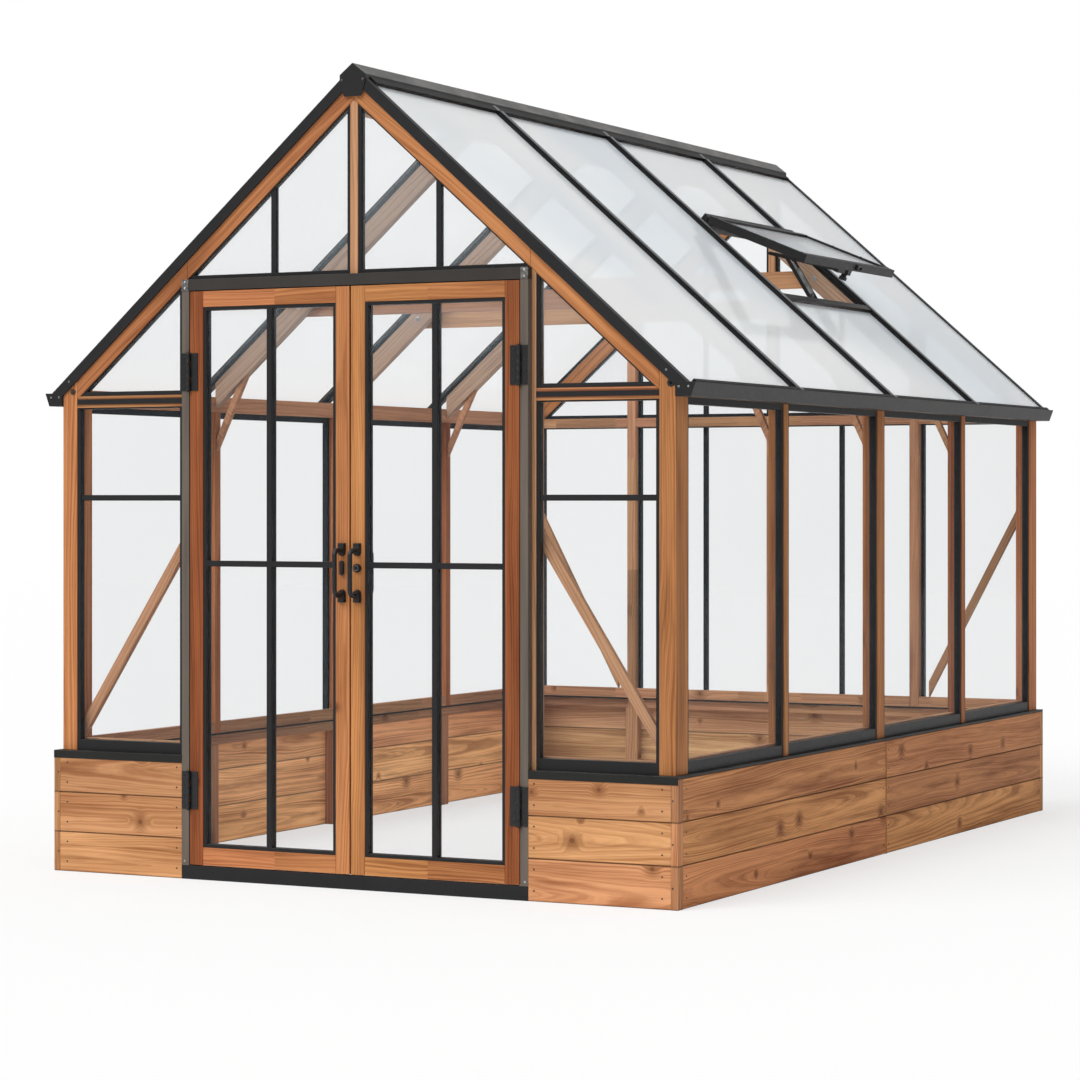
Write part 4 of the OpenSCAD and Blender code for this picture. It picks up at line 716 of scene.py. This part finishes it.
nail = {"sides": 12, "radius": 0.0032, "height": 0.0007, "rise": (0.035, 0.105), "frontX": (0.699, 1.162),
        "sideY": (-1.766, -0.024, 0.024, 1.766), "trimX": 1.1995, "trimRise": 0.07}
nailHead = headPiece(nail)
rows = [row * rowHeight for row in range(3)]
nailRows = [row + rise for row in rows for rise in nail["rise"]]
frontSpots = [(at(x * s, -frontFace, z), front) for s in sides for x in nail["frontX"] for z in nailRows]
setOut("front_board_nails", nailHead, frontSpots, nailMetal)
for s, label in sideNames:
    spots = [(at(sideFace * s, y, z), (s, 0, 0)) for y in nail["sideY"] for z in nailRows]
    setOut(label + "_board_nails", nailHead, spots, nailMetal)
trimRows = [row + nail["trimRise"] for row in rows]
trimSpots = [(at(nail["trimX"] * s, -frontFace, z), front) for s in sides for z in trimRows]
setOut("trim_nails", nailHead, trimSpots, nailMetal)
clear(nailHead)
print("nails set")

strip = {"length": 0.42, "width": 0.007, "height": 0.0025, "edge": 0.0008}
stripBar = barPiece(strip)
for s, label in sideNames:
    stripSpots = [(at(sideFace * s, 0, strip["length"] / 2), (s, 0, 0), up)]
    setOut(label + "_joint_strip", stripBar, stripSpots, trimCedar)
clear(stripBar)

block = {"length": 0.028, "width": 0.0386, "height": 0.002, "edge": 0.0007, "x": 0.664, "z": 2.0565}
blockPlate = barPiece(block)
blockSpots = [(at(block["x"] * s, -frontFace, block["z"]), front, right) for s in sides]
setOut("header_corner_blocks", blockPlate, blockSpots, stone)
clear(blockPlate)

rib = {"length": 1.25, "width": 0.004, "height": 0.0015, "edge": 0.0005,
       "y": -1.792, "z": 0.029, "step": 0.011, "count": 4}
ribBar = barPiece(rib)
ribSpots = [(at(0, rib["y"] + rib["step"] * i, rib["z"]), up, right) for i in range(rib["count"])]
setOut("threshold_ribs", ribBar, ribSpots, profile)
clear(ribBar)
print("strips and blocks set")

screw = {"sides": 12, "radius": 0.0036, "height": 0.0012, "recess": 0.0012,
         "blockY": -1.831, "blockZ": (2.046, 2.067), "foot": (0.666, 0.062),
         "hingeZ": (0.308, 1.755), "hingeStep": (-0.052, -0.018, 0.018, 0.052),
         "jambX": 0.6655, "jambY": -1.832, "leafX": 0.6248, "leafY": -1.831,
         "roofEndY": 1.811, "capX": (1.212, 1.246), "capZ": 1.676, "rafter": (1.168, 1.7305),
         "barRun": (0.16, 0.62, 1.12, 1.60), "barOut": -0.010}
screwHead = headPiece(screw)
blockScrews = [(at(block["x"] * s, screw["blockY"], z), front) for s in sides for z in screw["blockZ"]]
setOut("header_block_screws", screwHead, blockScrews, zinc)
footX, footZ = screw["foot"]
footSpots = [(at(footX * s, -frontFace, footZ), front) for s in sides]
setOut("jamb_foot_screws", screwHead, footSpots, zinc)
hingeRows = [z + step for z in screw["hingeZ"] for step in screw["hingeStep"]]
jambSpots = [(at(screw["jambX"] * s, screw["jambY"], z), front) for s in sides for z in hingeRows]
setOut("jamb_hinge_screws", screwHead, jambSpots, hardware)
for s, label in sideNames:
    spots = [(at(screw["leafX"] * s, screw["leafY"], z), front) for z in hingeRows]
    setOut(label + "_door_hinge_screws", screwHead, spots, hardware, label + "_door")
rafterX, rafterZ = screw["rafter"]
roofSpots = [(at(x * s, -screw["roofEndY"], screw["capZ"]), front) for s in sides for x in screw["capX"]]
for way, facing in ((-1, front), (1, rear)):
    roofSpots += [(at(rafterX * s, screw["roofEndY"] * way, rafterZ), facing) for s in sides]
setOut("roof_edge_screws", screwHead, roofSpots, steel)
barSpots = []
for y in (-bay, 0, bay):
    for run in screw["barRun"]:
        spot = onSlope(run, screw["barOut"], y)
        for s in sides:
            barSpots.append((Vector((spot.x * s, spot.y, spot.z)), (slopeOut[0] * s, 0, slopeOut[2])))
setOut("roof_bar_screws", screwHead, barSpots, zinc)
clear(screwHead)
print("screws set")

rivet = {"sides": 16, "radius": 0.0048, "height": 0.0018, "x": 0.041, "y": -1.814, "z": 2.7305}
rivetHead = headPiece(rivet)
rivetSpots = [(at(rivet["x"] * s, rivet["y"], rivet["z"]), front) for s in sides]
setOut("ridge_plate_rivets", rivetHead, rivetSpots, nailMetal)
clear(rivetHead)

washer = {"sides": 24, "radius": 0.011, "height": 0.0016}
bolt = {"sides": 6, "radius": 0.0062, "height": 0.0055, "frontOut": -0.019, "rearOut": 0.057,
        "ties": ((0.770, 2.035, -bay), (0.770, 2.035, 0), (0.566, 2.211, bay)),
        "post": (-1.156, -1.803, 1.695)}
washerRing = headPiece(washer)
boltHead = joined(headPiece(bolt), washerRing)
boltSpots = []
for x, z, y in bolt["ties"]:
    for s in sides:
        boltSpots += [(at(x * s, y + bolt["frontOut"], z), front), (at(x * s, y + bolt["rearOut"], z), rear)]
setOut("tie_bolts", boltHead, boltSpots, zinc)
setOut("left_post_bolt", boltHead, [(at(*bolt["post"]), front)], nailMetal)
clear(boltHead)
print("bolts set")

# a small scalloped bracket on the right post's head
bracket = {"sides": 48, "radius": 0.0125, "height": 0.0025, "wave": 0.0018, "waves": 8,
           "steps": ((0.0018, 0.0006), (0.004, -0.0008)), "place": (1.181, -1.803, 1.689)}
scallop = wavyPiece(bracket)
setOut("right_post_bracket", scallop, [(at(*bracket["place"]), front)], hardware)
clear(scallop)

# the vent: screws along its side rails, a pull tab over the clamp, and the clamp's fluted knob
vent = {"open": math.radians(19), "run": 0.6404, "out": 0.0095, "clampY": 0.075}
ventTilt = pitch - vent["open"]
sashRun = Vector((math.cos(ventTilt), 0, -math.sin(ventTilt)))
sashOut = Vector((math.sin(ventTilt), 0, math.cos(ventTilt)))
ventHinge = onSlope(vent["run"], vent["out"], bay / 2)


def onSash(run, out, y):
    # a point on the open vent: down from its hinge, out of its plane and along it
    return ventHinge + sashRun * run + sashOut * out + Vector((0, y, 0))


sashScrew = {"sides": 12, "radius": 0.0038, "height": 0.0016, "recess": 0.0012,
             "run": (0.035, 0.16, 0.29, 0.415), "out": 0.024, "y": 0.4425}
sashScrewHead = headPiece(sashScrew)
sashSpots = [(onSash(run, sashScrew["out"], sashScrew["y"] * s), sashOut)
             for s in sides for run in sashScrew["run"]]
setOut("vent_sash_screws", sashScrewHead, sashSpots, hardware, "vent")
clear(sashScrewHead)

pull = {"length": 0.042, "width": 0.018, "height": 0.007, "edge": 0.003,
        "steps": ((0.0035, 0), (0.0008, -0.003)), "run": 0.441, "out": 0.008}
pullTab = stepped(barPiece(pull), pull["steps"])
pullSpots = [(onSash(pull["run"], pull["out"], vent["clampY"]), sashRun, (0, 1, 0))]
setOut("vent_pull_tab", pullTab, pullSpots, hardware, "vent")
clear(pullTab)

knob = {"sides": 32, "radius": 0.0155, "height": 0.012, "wave": 0.0012, "waves": 8,
        "steps": ((0.003, 0.002), (0.004, -0.0015)), "run": 0.396, "out": -0.0445}
grip = wavyPiece(knob)
knobSpots = [(onSash(knob["run"], knob["out"], vent["clampY"]), -sashOut)]
setOut("vent_clamp_knob", grip, knobSpots, hardware, "vent")
clear(grip)
print("vent parts set")

# the opener's return spring, wound round its rod; flat positions lie in the plane across the vent's hinge
opener = {"foot": (0.397, -0.050), "sashPin": (0.397, -0.020), "arm": 0.215}
foot = Vector(opener["foot"])
closedPin = Vector(opener["sashPin"])
lift = vent["open"]
sashPin = Vector((closedPin.x * math.cos(lift) - closedPin.y * math.sin(lift),
                  closedPin.x * math.sin(lift) + closedPin.y * math.cos(lift)))
toPin = sashPin - foot
armAngle = math.atan2(toPin.y, toPin.x) + math.acos(toPin.length / 2 / opener["arm"])
armRun = Vector((math.cos(armAngle), math.sin(armAngle)))


def onArm(along, out, y):
    # a point beside the lower arm: along it from its foot, out of it and along the hinge
    flat = foot + armRun * along + Vector((-armRun.y, armRun.x)) * out
    return ventHinge + Vector(slopeRun) * flat.x + Vector(slopeOut) * flat.y + Vector((0, y, 0))


spring = {"start": 0.160, "end": 0.194, "radius": 0.0078, "wire": 0.0011, "turns": 7, "perTurn": 16}
wire = bpy.data.curves.new("springWire", "CURVE")
wire.dimensions = "3D"
wire.bevel_depth = spring["wire"]
wire.bevel_resolution = 1
coil = wire.splines.new("POLY")
steps = spring["turns"] * spring["perTurn"]
coil.points.add(steps)
for i in range(steps + 1):
    angle = 2 * math.pi * i / spring["perTurn"]
    along = spring["start"] + (spring["end"] - spring["start"]) * i / steps
    spot = onArm(along, spring["radius"] * math.cos(angle), spring["radius"] * math.sin(angle))
    coil.points[i].co = (spot.x, spot.y, spot.z, 1)
springPiece = bpy.data.objects.new("opener_spring", wire)
scene.collection.objects.link(springPiece)
choose(springPiece)
bpy.ops.object.convert(target="MESH")
springPiece = bpy.context.object
springPiece.name = "opener_spring"
springPiece.data.materials.append(zinc)
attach(springPiece, "lower_arms")

# a steel ring round the key's plug
plug = {"radius": 0.0085, "wire": 0.0007, "place": (0.030, -1.8403, 1.083), "flatten": 0.6}
bpy.ops.object.select_all(action="DESELECT")
bpy.ops.mesh.primitive_torus_add(
    major_radius=plug["radius"], minor_radius=plug["wire"], major_segments=32, minor_segments=8,
    location=at(*plug["place"]), rotation=(math.radians(90), 0, 0))
ring = settle()
bpy.ops.object.mode_set(mode="EDIT")
bpy.ops.mesh.select_all(action="SELECT")
bpy.ops.transform.resize(value=(1, plug["flatten"], 1), center_override=at(*plug["place"]))
bpy.ops.object.mode_set(mode="OBJECT")
ring.name = "key_plug_ring"
ring.data.materials.append(steel)
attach(ring, "key_cylinder")
print("opener and lock parts set")

# the floor, the light and the photograph's viewpoint
bpy.ops.object.select_all(action="DESELECT")
bpy.ops.mesh.primitive_plane_add(size=60, location=(0, 0, -0.0005))
floor = bpy.context.object
floor.name = "studio_floor"
floorPaint, tree, shader, where = startMaterial("studioFloor")
patch = noise(tree, where, 3.0, 4.0)
eye = put(tree, "ShaderNodeLightPath").outputs["Is Camera Ray"]
pale = mixed(tree, patch, (0.95, 0.95, 0.95, 1), (0.93, 0.93, 0.93, 1))
tree.links.new(mixed(tree, eye, pale, (0.30, 0.30, 0.30, 1)), shader.inputs["Base Color"])
tree.links.new(calc(tree, "MULTIPLY_ADD", patch, 0.1, 0.8), shader.inputs["Roughness"])
shader.inputs["Specular IOR Level"].default_value = 0.1
shader.inputs["Emission Color"].default_value = (1, 1, 1, 1)
# the eye sees the floor nearly white and its shadows faint, as in the photograph; it lights nothing by itself
tree.links.new(calc(tree, "MULTIPLY", eye, 0.61), shader.inputs["Emission Strength"])
floor.data.materials.append(floorPaint)

world = bpy.data.worlds.new("studio")
scene.world = world
world.use_nodes = True
tree = world.node_tree
eye = put(tree, "ShaderNodeLightPath").outputs["Is Camera Ray"]
tree.nodes["Background"].inputs["Color"].default_value = (1, 1, 1, 1)
# brighter overhead, like a big softbox; the eye sees plain white
height = split(tree, tree.nodes.new("ShaderNodeTexCoord").outputs["Generated"])["Z"]
sky = calc(tree, "MULTIPLY_ADD", calc(tree, "MAXIMUM", height, 0.0), 0.8, 0.2)
tree.links.new(calc(tree, "MAXIMUM", eye, sky), tree.nodes["Background"].inputs["Strength"])

sunData = bpy.data.lights.new("softSun", "SUN")
sunData.energy = 2.35
sunData.angle = math.radians(40)
sun = bpy.data.objects.new("softSun", sunData)
sun.rotation_euler = (math.radians(45.6), 0, math.radians(-24.8))
scene.collection.objects.link(sun)

cameraData = bpy.data.cameras.new("view")
cameraData.sensor_width = 36
cameraData.lens = 104.86
cameraData.shift_x = -0.02105
cameraData.shift_y = -0.0372
camera = bpy.data.objects.new("view", cameraData)
camera.location = (5.454, houseY - 10.9457, 1.3130)
camera.rotation_euler = (math.radians(90), 0, math.radians(27.02))
scene.collection.objects.link(camera)
scene.camera = camera
scene.view_settings.view_transform = "Standard"
print("stage set")
